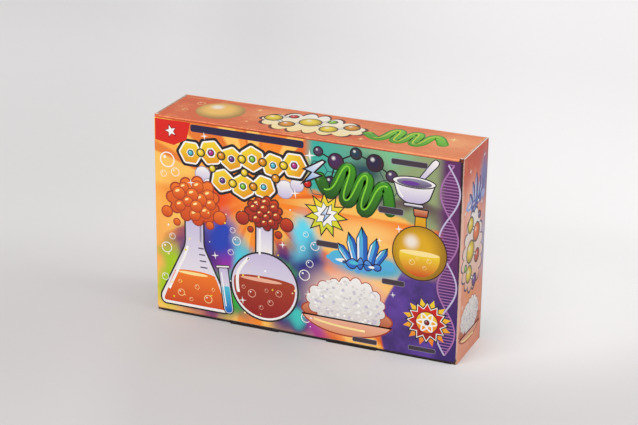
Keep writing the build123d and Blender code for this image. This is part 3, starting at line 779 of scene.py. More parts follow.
def conical_flask(pen, liquid, deep):
    """Flask 96 high, 72 wide, standing on its foot at the pen's place."""
    glass = [(-10, 92), (-10, 62), (-36, 8), (-33, 0), (33, 0), (36, 8), (10, 62), (10, 92)]
    pen.patch(glass, ("white", "lilac"), 4.0, "line", 1.5)
    pen.patch([(-32, 4), (32, 4), (20.5, 34), (-20.5, 34)], (deep, liquid), 3.0)
    pen.disc(0, 34, 20.5, liquid, squash=0.16)
    pen.disc(-2, 34.2, 15.0, "cream", squash=0.1)
    bubbles(pen, ((-14, 14, 3.2), (2, 22, 2.2), (13, 12, 3.8), (-4, 9, 1.8), (18, 22, 1.6), (-15, 25, 1.7)),
            "cream")
    pen.ribbon([(-7, 60), (-8, 54), (-18, 34), (-26, 16)], 2.6, "white")
    pen.ribbon([(6, 86), (6, 66)], 1.8, "grey")
    for step in range(4):
        v = 42 + 6 * step
        pen.bar(9 - 0.9 * step, v, 7 - 0.6 * step, 1.2, "dusk")
    pen.bar(0, 93.5, 27, 6.0, ("lilac", "white"), 2.6, "line", 1.3)


def round_flask(pen, liquid, deep):
    """Round-bottomed flask: its body is 33 in radius round the pen's place."""
    pen.patch([(-9, 26), (9, 26), (9, 62), (-9, 62)], ("white", "lilac"), 0, "line", 1.5)
    pen.disc(0, 0, 33, ("white", "lilac"), "line", 1.6)
    pen.disc(0, 0, 29.5, (deep, liquid), cut=6)
    pen.disc(0, 6, 28.8, liquid, squash=0.14)
    pen.disc(-3, 6.2, 20, "rose", squash=0.09)
    bubbles(pen, ((-12, -8, 3.6), (6, -14, 2.6), (14, -4, 3.0), (-3, -20, 2.0), (2, -3, 1.7), (-20, -3, 1.8)),
            "rose")
    pen.ribbon([(-15, 25), (-24, 15), (-27, 2), (-25, -9)], 3.0, "white")
    pen.bar(-4.5, 42, 2.2, 24, "white", 1.0)
    pen.bar(0, 64, 25, 6.0, ("lilac", "white"), 2.6, "line", 1.3)


def test_tube_drawn(pen, liquid, glow):
    """Slim tube 46 high, its foot at the pen's place."""
    pen.patch([(-5.5, 44), (-5.5, 1), (-3, -3), (3, -3), (5.5, 1), (5.5, 44)], ("white", "lilac"),
              2.0, "line", 1.1)
    pen.patch([(-3.8, 25), (-3.8, 1), (-2, -1.4), (2, -1.4), (3.8, 1), (3.8, 25)], (liquid, glow), 1.2)
    pen.bar(-2.2, 22, 1.1, 34, "white", 0.5)
    pen.bar(0, 44.5, 15, 3.2, "white", 1.4, "line", 0.9)


def drawn_coil(pen, turns, pitch, height, width, inks, line="forest"):
    """Winding glass tube of even turns, with a glint along it."""
    low, high, glint = inks
    path = [(-pitch * 0.7, -height * 0.2)]
    for step in range(2 * turns):
        u = step * pitch / 2
        side = 0.5 if step % 2 else -0.5
        path += [(u - pitch * 0.22, side * height), (u + pitch * 0.22, side * height)]
    path.append((turns * pitch + pitch * 0.2, -height * 0.1))
    for edge, ink in ((1.3, line), (0.0, (low, high))):
        for end in (path[0], path[-1]):
            pen.disc(*end, width / 2 + edge, ink)
        pen.ribbon(path, width + 2 * edge, ink)
    pen.ribbon([(a - width * 0.17, b + width * 0.14) for a, b in path[1:-1]], width * 0.16, glint)


def shard(pen, length, width, inks, line):
    """Pointed crystal of three facets, growing up from the pen's place."""
    dark, mid, pale = inks
    side, shaded, lit = width / 2, width * 0.1, -width * 0.24
    pen.patch([(-side, 0), (side, 0), (side, length * 0.72), (0, length), (-side, length * 0.66)],
              (mid, pale), 0.3, line, 0.9)
    pen.patch([(shaded, 1), (side - 0.8, 1), (side - 0.8, length * 0.7), (shaded, length * 0.9)], dark)
    pen.patch([(1.1 - side, 2), (lit, 2), (lit, length * 0.74), (1.1 - side, length * 0.62)], "white")


def crystals(pen, inks, line="navy"):
    """Fan of crystals standing in a pool, 60 wide."""
    dark, mid, pale = inks
    puff(pen, -2, -6, 33, 13, (mid, pale), squash=0.26, bulge=0.1)
    pen.disc(-6, -7, 20, "white", squash=0.12)
    for u, length, width, turn in ((-12, 20, 8, 38), (12, 22, 8, -34), (-6, 29, 9, 16), (7, 27, 9, -14),
                                   (0, 35, 11, 2)):
        shard(pen.at(u, -6, turn=turn), length, width, inks, line)
    puff(pen, 0, -8, 19, 9, (dark, mid), line, 1.0, 0.26, bulge=0.2)
    pen.disc(-8, -7.5, 4.4, pale, squash=0.4)
    pen.disc(9, -9, 3.0, "white", squash=0.4)


def mortar(pen):
    """White bowl with its pestle, 50 wide."""
    pestle = pen.at(15, 22, turn=-38)
    pestle.patch([(-3, -16), (3, -16), (4.4, 12), (3, 17), (-3, 17), (-4.4, 12)], ("lilac", "white"),
                 2.0, "line", 1.1)
    pen.patch([(-24, 8), (24, 8), (18, -10), (9, -16), (-9, -16), (-18, -10)], ("lilac", "white"),
              3.5, "line", 1.3)
    pen.disc(0, 8, 24.5, "white", "line", 1.2, squash=0.27)
    pen.disc(0, 7.4, 19.5, ("dusk", "grey"), squash=0.24)
    pen.disc(-4, 6.8, 10, "violet", squash=0.22)
    pen.bar(0, -17.5, 23, 4.6, ("grey", "white"), 2.0, "line", 1.1)
    pen.ribbon([(-19, 2), (-17, -5), (-12, -10)], 2.0, "white")


def granule_dish(pen, width, seed):
    """Shallow dish heaped with white granules."""
    dice = random.Random(seed)
    half = width / 2
    tints = (("chalk", "white"), ("white", "white"), ("white", "chalk"), ("chalk", "white"),
             ("lilac", "chalk"))
    pen.disc(0, -2, half, ("brick", "skin"), "brick", 1.3, squash=0.3)
    puff(pen, 0, 9, half * 0.86, 17, ("chalk", "white"), "brick", 0.8, 0.66, bulge=0.1)
    for _ in range(210):
        angle = dice.uniform(0, tau)
        share = dice.uniform(0, 1) ** 0.5 * 0.9
        u, v = half * 0.84 * share * cos(angle), 9 + half * 0.55 * share * sin(angle)
        size = dice.uniform(1.2, 2.3)
        pen.star(u, v, size, size * 0.8, 3, dice.choice(tints), turn=dice.uniform(0, 120))
    pen.disc(0, -2, half + 1, ("skin", "rose"), "brick", 1.3, squash=0.46, cut=-5)
    pen.ribbon([(-half * 0.72, -11), (-half * 0.3, -15), (half * 0.4, -15)], 2.0, "cream")


def atom_badge(pen, radius):
    """Jagged burst with an atom of three rings."""
    pen.star(0, 0, radius * 1.3, radius * 0.84, 12, ("orange", "yellow"), turn=15)
    pen.star(0, 0, radius * 1.16, radius * 0.84, 12, "white", "line", 1.0)
    pen.star(0, 0, radius * 0.98, radius * 0.7, 12, ("crimson", "red"))
    pen.disc(0, 0, radius * 0.62, ("orange", "yellow"), "crimson", 1.2)
    for turn in (0, 60, 120):
        ring(pen, 0, 0, radius * 0.52, 1.5, "white", 0.36, turn)
    ball(pen, 0, 0, radius * 0.15, "crimson")


def helix(pen, height, radius, inks):
    """Upright double helix with close rungs."""
    crossing, rung_gap, run_gap = 44.0, 2.8, 4
    dark, pale = inks
    for step in range(int(height / rung_gap)):
        v = (step + 0.5) * rung_gap
        half = radius * abs(sin(v * pi / crossing))
        if half > 1.5:
            pen.bar(0, v, 2 * half, 0.9, dark)
    heights = range(0, int(height) + 1, run_gap)
    for side, ink in ((radius, dark), (-radius, pale)):
        pen.ribbon([(side * sin(v * pi / crossing), v) for v in heights], 1.5, ink)


ROOT_3 = 1.732


def hexagon(radius, u=0.0, v=0.0):
    """Corners of a six-sided ring."""
    return [(u + radius * cos(k * tau / 6), v + radius * sin(k * tau / 6)) for k in range(6)]


def hexagons(pen, cells, size, ink, width):
    """Net of six-sided rings."""
    for column, row in cells:
        u = column * size * 1.5
        v = (row + (column % 2) / 2) * size * ROOT_3
        pen.patch(hexagon(size + width * 0.55, u, v), None, 0, ink, width)


def caption_bar(pen, u, v, width, height, fill="mole", edge="grey"):
    """Plain bar with a fine edge, where a caption would stand."""
    pen.bar(u, v, width, height, fill, height * 0.3, edge, 0.35)


def sparkles(pen, places, ink="white"):
    for u, v, size in places:
        pen.star(u, v, size, size * 0.2, 4, ink, turn=8)


# ---------------------------------------------------------------- grounds of the print
def front_ground(sketch, spot, x, y, z):
    """Orange with rays, glows of blue, green and purple, teal at the upper right and a purple band."""
    base = sketch.mix(x.fade(-150, -10), paint(255, 176, 70), paint(246, 130, 22))
    for count, sharpness, share, tint in ((9.0, 2.0, 0.62, paint(214, 70, 12)),
                                          (13.0, 2.4, 0.85, paint(255, 202, 96))):
        lit = sketch.effect(ray_fan(), Across=x + 46.0, Up=z - 128.0, Count=count, Sharpness=sharpness)[0]
        base = sketch.mix(lit * share, base, tint)
    turns = sketch.vector("SUBTRACT", sketch.noise(spot, 0.03, output=1), (0.5, 0.5, 0.5))
    swirl = sketch.vector("MULTIPLY_ADD", turns, (34.0, 34.0, 34.0), spot)
    base = washes(sketch, swirl, base, ("y", 0), [
        ((250, 176, 84), (-148, 80), (24, 60), 0.8),
        ((236, 78, 14), (-96, 124), (50, 30), 0.8),
        ((62, 34, 120), (-92, 46), (58, 62), 0.42),
        ((164, 200, 20), (-134, 38), (17, 44), 0.6),
        ((150, 34, 160), (-74, 62), (26, 36), 0.7),
        ((30, 62, 176), (-82, 90), (26, 30), 0.7),
        ((48, 166, 26), (-76, 28), (26, 38), 0.7),
        ((66, 204, 222), (-60, 56), (18, 44), 0.8),
        ((62, 30, 112), (-6, 44), (40, 64), 0.4),
        ((72, 184, 56), (-14, 56), (22, 26), 0.8),
        ((96, 214, 236), (4, 98), (22, 34), 0.8),
        ((38, 30, 120), (10, 56), (22, 50), 0.5),
        ((60, 196, 186), (-6, 18), (18, 20), 0.8),
        ((166, 36, 156), (16, 26), (16, 40), 0.7),
    ])
    base = washes(sketch, spot, base, ("y", 0), [
        ((252, 196, 110), (60, 112), (60, 20), 0.9),
        ((248, 206, 178), (44, 44), (56, 44), 0.7),
        ((76, 170, 200), (66, 82), (52, 16), 0.6),
    ])

    # Purple lower right, behind a wavy edge
    cloud = sketch.noise(spot, 0.03, 3.0, 0.6).fade(0.3, 0.7)
    purple = sketch.mix(cloud, paint(98, 62, 158), paint(60, 38, 104))
    wavy = x + (z * 0.045).sine() * 9.0 + z * -0.12
    base = sketch.mix(wavy.fade(80, 83) * z.fade(92, 74), base, purple)

    # Teal upper right, behind a ragged edge
    ragged = z + x * 0.16 + sketch.noise(spot, 0.05, 4.0, 0.6) * 22.0
    teal = sketch.mix(x.fade(0, 110), paint(46, 172, 156), paint(146, 160, 112))
    teal = washes(sketch, swirl, teal, ("y", 0), [
        ((30, 66, 80), (58, 168), (28, 24), 0.9),
        ((120, 190, 140), (84, 192), (36, 20), 0.9),
        ((96, 78, 76), (104, 142), (44, 13), 0.8),
    ])
    base = sketch.mix(ragged.fade(156, 162) * x.fade(-2, 10), base, teal)

    # Purple band down the right; painted shade along the lower edge and down the right side edge, and a
    # painted highlight along the left side edge
    streak = sketch.noise(spot, 0.12, 3.0, 0.6, stretch=(1.0, 1.0, 0.3))
    band = sketch.mix(streak, paint(112, 46, 108), paint(70, 28, 82))
    band = sketch.mix(z.fade(110, 30), band, paint(56, 30, 104))
    base = sketch.mix(x.fade(123, 135), base, band)
    # Painted shade: a dark band along the lower edge, where the lid meets the floor
    base = sketch.mix(z.fade(3.6, 2.6), base, paint(44, 18, 16))
    # Painted shade down the right side edge (first wash) and a painted highlight on the fold of the left side
    # edge (second wash)
    return washes(sketch, spot, base, ("y", 0), [
        ((44, 8, 26), (151.4, 176), (5.4, 150), 0.35),
        ((226, 132, 84), (-150.6, 90), (2.0, 140), 0.6),
    ])


def warm_ground(pale, deep, flow, *layers):
    """Ground of the narrow faces: warm blend along one axis with faint swirls.

    flow is (axis, where it is pale, where it is deep). Each layer is the two last arguments of washes.
    """
    def draw(sketch, spot, x, y, z):
        along = (x, y, z)["xyz".index(flow[0])].fade(*flow[1:])
        base = sketch.mix(along, paint(*pale), paint(*deep))
        for flat, patches in layers:
            base = washes(sketch, spot, base, flat, patches)
        swirls = sketch.noise(spot, 0.09, 5.0, 0.65, stretch=(0.6, 1.0, 1.0))
        base = sketch.mix(swirls.fade(0.5, 0.72) * 0.35, base, paint(250, 186, 116))
        return sketch.mix(swirls.fade(0.46, 0.26) * 0.3, base, paint(178, 62, 30))
    return draw


TOP_GROUND = warm_ground((218, 96, 44), (230, 130, 78), ("x", -150, 120), (("z", 195), [
    ((236, 148, 92), (-40, 10), (60, 26), 0.9),
    ((214, 92, 50), (30, -12), (70, 20), 0.9),
    ((242, 158, 102), (128, 6), (40, 30), 0.9),
    # Painted shade along the crease at the front edge of the top
    ((176, 58, 12), (-20, -36), (190, 5), 0.8),
    ((222, 112, 60), (70, 30), (70, 14), 0.9),
]), (("y", -34), [
    # Painted shade: a dark thin line under the crease bead, on the front strip
    ((140, 44, 16), (40, 192), (170, 1.6), 0.9),
]))
RIGHT_GROUND = warm_ground((236, 148, 116), (208, 66, 6), ("z", 140, 186), (("x", 150), [
    ((250, 186, 166), (-8, 140), (26, 44), 0.9),
    ((110, 118, 176), (24, 160), (18, 34), 0.8),
    ((180, 174, 206), (28, 96), (16, 44), 0.8),
    ((238, 150, 88), (0, 66), (30, 30), 0.9),
    ((240, 160, 132), (-6, 20), (40, 30), 0.9),
    ((250, 192, 168), (-33, 90), (9, 92), 0.4),
    # Painted shade in the lower and the upper front corner, beside the lid
    ((30, 12, 14), (-33.4, 2), (2.8, 7), 0.3),
    ((110, 44, 34), (-33.4, 196), (3.0, 8), 0.3),
]))
LEFT_GROUND = warm_ground((240, 134, 40), (208, 76, 18), ("z", 20, 190), (("x", -150), [
    ((252, 186, 90), (0, 110), (30, 60), 0.9),
    ((96, 60, 120), (10, 20), (40, 34), 0.8),
    # Painted shade in the lower front corner, beside the lid
    ((70, 30, 24), (-33.4, 2), (2.8, 7), 0.5),
    ((226, 108, 64), (-33.4, 196), (3.0, 8), 0.3),
]))
BACK_GROUND = warm_ground((246, 158, 56), (222, 92, 30), ("z", 20, 190), (("y", 34), [
    ((255, 206, 120), (0, 130), (90, 60), 0.9),
    ((104, 60, 120), (-140, 20), (70, 60), 0.8),
    ((58, 122, 112), (140, 30), (60, 50), 0.8),
]))
PLAIN_BASE = warm_ground((232, 126, 40), (220, 108, 34), ("x", -150, 150))


def base_ground(sketch, spot, x, y, z):
    """Plain warm ground that ends in painted shade at the fold under the lid."""
    # Painted shade: the strip behind the lid's lower edge and the lock tab noses go near black
    dark = y.fade(LID_OUT + 3.4, LID_OUT + 2.2)
    return sketch.mix(dark, PLAIN_BASE(sketch, spot, x, y, z), paint(26, 12, 12))


def coated_ground(axis, start, stop):
    """White coating, with ink that bleeds over it along one axis up to a ragged edge."""
    def draw(sketch, spot, x, y, z):
        ragged = (x, y, z)["xyz".index(axis)] + sketch.noise(spot, 0.25, 4.0, 0.6) * 2.4
        white = sketch.mix(sketch.noise(spot, 0.02), paint(240, 238, 233), paint(228, 225, 218))
        return sketch.mix(ragged.fade(start, stop), paint(232, 128, 52), white)
    return draw


# ---------------------------------------------------------------- operators: carton
class FinishCarton(bpy.types.Operator):
    """Lid, walls, ends, liners and flaps: laminated print, grey liner and raw fluted edges"""
    bl_idname = "chemistry_case.carton"
    bl_label = "Carton board"

    def execute(self, context):
        finish_node("lid_panel", board_material(
            "lid_print", "X", front_ground,
            printed=lambda x, y, z: y.below(LID_OUT + WRAP) | z.below(2.5),
            raw=lambda x, y, z: abs(x).above(HALF_LID - 0.04) * y.above(LID_OUT + 0.5),
            across=lambda x, y, z: (y - LID_OUT) / BOARD,
            crests=[(lambda x, y, z: HALF_LID - abs(x), 0.8, paint(236, 180, 156))]))

        bead = (lambda x, y, z: reach(y - (LID_OUT + 0.3), z - (TOP_OUT - 0.3)), 1.3, paint(246, 158, 112))
        back_fold = (lambda x, y, z: BACK_OUT - BOARD - y, 1.4, paint(236, 170, 130))
        side_fold = (lambda x, y, z: TOP_HALF - abs(x), 2.8, paint(255, 236, 220))
        finish_node("top_wall", board_material(
            "top_print", "X", TOP_GROUND,
            printed=lambda x, y, z: z.above(TOP_OUT - WRAP) | y.below(LID_OUT + 1.1),
            crests=[bead, back_fold, side_fold]))

        finish_node("bottom_wall", board_material(
            "bottom_print", "X", base_ground, printed=lambda x, y, z: z.below(WRAP) | y.below(LID_OUT + 1.6)))
        finish_node("back_panel", board_material(
            "back_print", "X", BACK_GROUND,
            printed=lambda x, y, z: y.above(BACK_OUT - WRAP),
            raw=lambda x, y, z: z.above(CASE_H - FACE_SLACK),
            across=lambda x, y, z: (y - (BACK_OUT - BOARD)) / BOARD,
            crests=[(lambda x, y, z: CASE_H - z, 1.6, paint(240, 200, 170))]))

        for side, ground in (("right", RIGHT_GROUND), ("left", LEFT_GROUND)):
            finish_node(f"{side}_end_wall", board_material(
                f"{side}_end_print", "XY", ground,
                printed=lambda x, y, z: abs(x).above(END_OUT - WRAP) | y.below(END_FRONT + WRAP),
                raw=lambda x, y, z: z.above(CASE_H - FACE_SLACK) | z.below(FACE_SLACK),
                across=lambda x, y, z: (abs(x) - (END_OUT - BOARD)) * (0.8 / BOARD) + 0.4,
                crests=[(lambda x, y, z: reach(abs(x) - (END_OUT - 0.4), y - (END_FRONT + 0.4)), 1.2,
                         paint(240, 206, 188))]))
        self.line_inside()
        for name in ("insert_deck", "insert_leg_lower", "insert_leg_upper"):
            finish_node(name, finish("insert_board", self.insert_board))
        return {"FINISHED"}

    def line_inside(self):
        """Pieces that show their white coated side inward, with ink bleeding a little past the folds."""
        def liner_face(x, y, z):
            return abs(x).below(LINER_IN + 0.2)

        def flap_face(x, y, z):
            return abs(x).above(END_OUT - BOARD - 0.3)

        def tuck_face(x, y, z):
            return (y * -0.114 + z).below(4.9)

        pieces = [("tuck_flap", "X", coated_ground("y", LID_OUT + 2.8, LID_OUT + 6.6), tuck_face)]
        for side in ("left", "right"):
            pieces += [
                (f"{side}_end_liner", "Z", coated_ground("y", END_FRONT + 2.7, END_FRONT + 7.0), liner_face),
                (f"dust_flap_lower_{side}", "X", coated_ground("z", 2.7, 6.2), flap_face),
                (f"dust_flap_upper_{side}", "X", coated_ground("z", CASE_H - 0.6, CASE_H - 4.8), flap_face),
            ]
        for name, run, ground, shown in pieces:
            finish_node(name, board_material(name + "_board", run, ground, shown))

    def insert_board(self, sketch, shader):
        """White-faced board of the platform, grey where it is cut."""
        spot = sketch.place()
        x, y, z = sketch.parts(spot)
        cut = y.above(DECK_FACE + 0.15) * y.below(DECK_FACE + 1.4)
        face = sketch.mix(sketch.noise(spot, 0.02, 3.0, 0.6), paint(238, 236, 231), paint(222, 219, 212))
        core = sketch.mix(sketch.noise(spot, 1.5, 4.0, 0.7), paint(176, 164, 148), paint(140, 128, 112))
        colour = sketch.mix(cut, face, core)
        surface(sketch, shader, sketch.effect(laminated_board(), Colour=colour, Run=x, Scuff=0.6),
                Coat_Weight=0.12, Coat_Roughness=0.35)


class PrintFront(bpy.types.Operator):
    """Front print: flasks, foam, a chain of balls, coil, crystals, mortar, dish and badge"""
    bl_idname = "chemistry_case.front_print"
    bl_label = "Front print"

    def execute(self, context):
        sheet = Sheet("front_print", "front", (0, LID_OUT, 0), ((1 - HALF_LID, HALF_LID - 1), (3.5, 192)),
                      "lid", "printed_lid_board")
        pen = sheet.pen()
        dice = random.Random(7)

        hexagons(pen.at(14, 150), [(0, 0), (0, 1), (1, 0), (2, 1), (3, 0), (4, 1), (4, 0), (5, 0)], 9.0,
                 "deep_teal", 0.7)
        molecule(pen, [(14, 183, 5, "dusk"), (31, 176, 8, "plum"), (50, 186, 6, "deep_teal"),
                       (68, 180, 8.5, "navy"), (84, 170, 6, "dusk"), (26, 156, 6, "navy")],
                 [(0, 1), (1, 2), (2, 3), (3, 4), (1, 5)], 1.4)
        helix(pen.at(138.4, 8), 182, 9.0, ("mauve", "lilac"))

        self.chains(pen)
        conical_flask(pen.at(-109, 8, 1.04), "orange", "rust")
        foam(pen, -109, 117, 27, "rust", "orange", "brick", 3)
        lumps(pen, ((-83, 104, 7), (-137, 102, 6), (-93, 95, 4.5), (-127, 93, 4)), ("rust", "orange"),
              "brick", 1.0)
        round_flask(pen.at(-38, 43, 1.05), "brick", "crimson")
        foam(pen, -38, 116, 19, "crimson", "rust", "brown_line", 5)
        lumps(pen, ((-60, 108, 7), (-16, 108, 7), (-52, 98, 3.4), (-24, 97, 4)), ("crimson", "rust"),
              "brown_line", 1.0)
        test_tube_drawn(pen.at(-74, 12, turn=8), "blue", "cyan")
        bubbles(pen, ((-138, 66, 5), (-132, 78, 3), (-66, 84, 4), (-70, 94, 2.6), (2, 62, 5), (7, 74, 3.4),
                      (0, 88, 2.4), (-140, 36, 3.4), (12, 92, 4), (3, 102, 2.6), (-72, 72, 2.8), (4, 20, 4.6),
                      (10, 32, 2.6), (-136, 153, 7), (-128, 142, 4), (-140, 139, 3)))

        drawn_coil(pen.at(30, 160, turn=-20), 3, 18, 31, 9.2, ("forest", "green", "leaf"))
        mortar(pen.at(105, 161, 0.84))
        crystals(pen.at(58, 90), ("blue", "sky", "cyan"))
        self.yellow_flask(pen.at(112, 102))
        granule_dish(pen.at(44, 32), 90, 11)
        atom_badge(pen.at(121, 37), 18)

        pen.star(22, 124, 22, 13, 11, ("lime", "yellow"), "line", 1.0, turn=5)
        pen.star(22, 124, 13, 8, 9, "white", "forest", 0.6, turn=12)
        self.bolt(pen.at(22, 124, 0.62))
        self.bolt(pen.at(9, 162, 1.2, turn=-24))
        caption_bar(pen, -56, 187, 112, 7, "navy", "dusk")
        for place in ((84, 138, 24, 6.4), (100, 184.5, 34, 5.6), (24, 96, 22, 6), (88, 70, 22, 5.6),
                      (62, 8, 24, 5), (117, 10, 26, 4.6)):
            caption_bar(pen, *place)
        sparkles(pen, [(-98, 181, 4), (6, 178, 6), (-112, 134, 4), (-8, 140, 5), (88, 58, 3), (-88, 66, 4),
                       (6, 44, 4), (-60, 26, 4), (-20, 88, 4), (92, 122, 4), (74, 108, 3)])
        dots = [(dice.uniform(-142, 12), dice.uniform(6, 130)) for _ in range(34)]
        for u, v in dots:
            pen.disc(u, v, dice.uniform(0.5, 1.2), dice.choice(("white", "cream", "yellow")))
        pen.patch([(-148, 171), (-129, 168), (-116, 175), (-112, 191.7), (-148, 191.7)], ("red", "red"), 0.8)
        pen.star(-132, 181.2, 7.4, 3.2, 5, "white", "crimson", 0.7, turn=18)
        sheet.finish()
        return {"FINISHED"}

    def chains(self, pen):
        """Two rows of bold yellow six-sided rings with balls between, on a heavy dark outline."""
        gap = 20.6
        rings = [(-112 + gap * k, 163 + 3 * (k % 2), 9.2 + 0.8 * (k % 2), 12 * k) for k in range(6)]
        rings += [(-80 + gap * k, 141 - 2.5 * (k % 2), 9.0 + 0.6 * (k % 2), 14 * k + 20) for k in range(3)]
        lumps(pen, ((-100, 144, 8), (-94, 135, 6), (-18, 142, 9), (-6, 148, 7)), ("lilac", "white"),
              "grey", 0.7)
        for edge, fill in ((6.0, "line"), (3.2, "white")):
            for u, v, radius, turn in rings:
                pen.at(u, v, turn=turn).patch(hexagon(radius + edge), fill, 2.0)
        for u, v, radius, turn in rings:
            pen.at(u, v, turn=turn).patch(hexagon(radius + 1.4), None, 0, ("amber", "yellow"), 5.4)
        for number, (u, v, radius, _) in enumerate(rings):
            ball(pen, u, v, radius * 0.34, ("cyan", "magenta", "violet", "leaf")[number % 4])
        for first, second in ((0, 1), (1, 2), (2, 3), (3, 4), (4, 5), (6, 7), (7, 8)):
            a, b = Vector(rings[first][:2]), Vector(rings[second][:2])
            ball(pen, *((a + b) / 2), 4.4, ("yellow", "amber")[first % 2])
        for place in ((-90, 151, 4.0, "yellow"), (-27, 151, 4.6, "amber"), (-58, 152, 4.2, "yellow"),
                      (4, 151, 4.4, "red")):
            ball(pen, *place)

    def bolt(self, pen):
        """Zigzag flash."""
        pen.patch([(2, 14), (-9, -2), (-2, -1), (-5, -14), (9, 3), (2, 2), (6, 14)], ("sky", "white"),
                  0, "line", 1.3)

    def yellow_flask(self, pen):
        """Round yellow flask with a cork."""
        pen.patch([(-6, 20), (6, 20), (5.4, 36), (-5.4, 36)], ("amber", "gold"), 0.8, "line", 0.9)
        pen.disc(0, 0, 26, "brick", "line", 0.9)
        pen.disc(0, 0, 25, "gold", ball=True)
        pen.disc(0, -3, 19, ("rust", "yellow"), cut=3)
        pen.disc(0, 0, 18.7, "cream", squash=0.13)
        bubbles(pen, ((-7, -9, 2.6), (5, -13, 1.8), (9, -6, 2.2), (-2, -5, 1.4)), "cream")
        pen.patch([(-6.5, 34), (6.5, 34), (7.5, 42), (-7.5, 42)], ("brick", "skin"), 1.2, "line", 1.0)


class PrintTop(bpy.types.Operator):
    """Top print: yellow ball, molecule on a burst, and coil"""
    bl_idname = "chemistry_case.top_print"
    bl_label = "Top print"

    def execute(self, context):
        sheet = Sheet("top_print", "top", (0, 0, TOP_OUT), ((-147, 147), (-32, 31)), "carton",
                      "printed_wall_board")
        pen = sheet.pen()
        pen.disc(-98, 1, 23.0, "maize", ball=True)
        bubbles(pen, ((-124, 14, 3.6), (-130, -8, 2.6)), "cream")
        puff(pen, -6, 0, 52, 15, "brown_line", squash=0.5)
        puff(pen, -6, 0, 49, 15, ("cream", "white"), squash=0.48)
        molecule(pen, [(-46, 4, 9, "yellow"), (-28, -8, 8, "amber"), (-10, 5, 11, "yellow"),
                       (12, -6, 9, "yellow"), (30, 6, 8, "amber"), (-30, 14, 5, "red"), (8, 14, 5, "leaf")],
                 [(0, 1), (1, 2), (2, 3), (3, 4), (0, 5), (2, 6)], 4.0)
        drawn_coil(pen.at(62, 3, turn=-3), 3, 18, 28, 8.0, ("green", "leaf", "lime"), "green")
        sparkles(pen, [(-66, 18, 4), (48, -18, 4), (124, 14, 5), (-64, -16, 3)], "cream")
        sheet.finish()
        return {"FINISHED"}


class PrintEnds(bpy.types.Operator):
    """Prints of both ends: crystals, molecules and a dish"""
    bl_idname = "chemistry_case.end_prints"
    bl_label = "End prints"

    def execute(self, context):
        limits = ((-31.5, 31.5), (2, 193))
        right = Sheet("right_end_drawing", "right", (END_OUT, 0, 0), limits, "carton", "printed_wall_board")
        pen = right.pen()
        crystals(pen.at(4, 150, 0.78), ("indigo", "sky", "lilac"), "violet")
        puff(pen, 0.5, 98, 28, 16, "dusk", squash=1.42)
        puff(pen, 0.5, 98, 26.4, 16, ("rose", "white"), squash=1.42)
        molecule(pen, [(-8, 126, 8, "yellow"), (9, 114, 9.5, "orange"), (-6, 100, 11, "yellow"),
                       (13, 90, 7, "rust"), (-8, 79, 8.5, "yellow"), (8, 68, 6.5, "violet"),
                       (16, 128, 4, "violet"), (-18, 88, 4, "leaf")],
                 [(0, 1), (1, 2), (2, 3), (2, 4), (4, 5)], 3.6)
        granule_dish(pen.at(0, 28, 0.9), 66, 21)
        sparkles(pen, [(-24, 142, 3.4), (22, 138, 3), (-22, 52, 3.4), (-14, 178, 3.6), (24, 182, 3)])
        right.finish()

        left = Sheet("left_end_drawing", "left", (-END_OUT, 0, 0), limits, "carton", "printed_wall_board")
        pen = left.pen()
        conical_flask(pen.at(0, 14, 0.62), "leaf", "green")
        foam(pen, 0, 84, 14, "green", "lime", "forest", 9)
        drawn_coil(pen.at(-13, 122, 0.75), 2, 17, 30, 7.6, ("blue", "cyan", "white"), "navy")
        ball(pen, -12, 160, 9, "yellow")
        ball(pen, 8, 168, 7, "amber")
        ball(pen, 14, 152, 5, "red")
        sparkles(pen, [(-20, 104, 3.4), (20, 136, 3.4), (20, 62, 3)])
        caption_bar(pen, 0, 184, 40, 7, "brick", "cream")
        left.finish()
        return {"FINISHED"}


class PrintBack(bpy.types.Operator):
    """Back print: three framed pictures of experiments and a chain of balls"""
    bl_idname = "chemistry_case.back_print"
    bl_label = "Back print"

    def execute(self, context):
        sheet = Sheet("back_drawing", "back", (0, BACK_OUT, 0), ((-147, 147), (2, 193)), "carton",
                      "printed_wall_board")
        pen = sheet.pen()
        puff(pen, 0, 152, 64, 17, "line", squash=0.42)
        puff(pen, 0, 152, 61, 17, ("lilac", "white"), squash=0.41)
        molecule(pen, [(-46, 156, 10, "yellow"), (-24, 146, 9, "amber"), (-2, 158, 12, "yellow"),
                       (22, 147, 9, "yellow"), (44, 157, 8, "amber"), (0, 136, 6, "red")],
                 [(0, 1), (1, 2), (2, 3), (3, 4), (2, 5)], 4.6)
        for u, fill in ((-92, "sky"), (0, "leaf"), (92, "magenta")):
            pen.bar(u, 66, 76, 84, "white", 6, "line", 1.2)
            pen.bar(u, 72, 66, 62, (fill, "cream"), 4)
            caption_bar(pen, u, 33, 60, 8)
        crystals(pen.at(-92, 62, 0.95), ("blue", "sky", "cyan"))
        conical_flask(pen.at(0, 46, 0.54), "leaf", "green")
        round_flask(pen.at(92, 66, 0.5), "magenta", "violet")
        for u in (-118, 118):
            atom_badge(pen.at(u, 158), 17)
        for row in range(4):
            pen.bar(-6 * (row % 2), 17 - 3.6 * row, 150 - 22 * (row % 3), 1.3, "brown_line")
        sheet.finish()
        return {"FINISHED"}


# ---------------------------------------------------------------- operators: kit
def plastic(name, colour, speckle=0.3, **constants):
    """Moulded plastic; constants are the shader's own socket values."""
    def build(sketch, shader):
        surface(sketch, shader, sketch.effect(moulded_skin(), Colour=colour, Speckle=speckle), **constants)
    return finish(name, build)


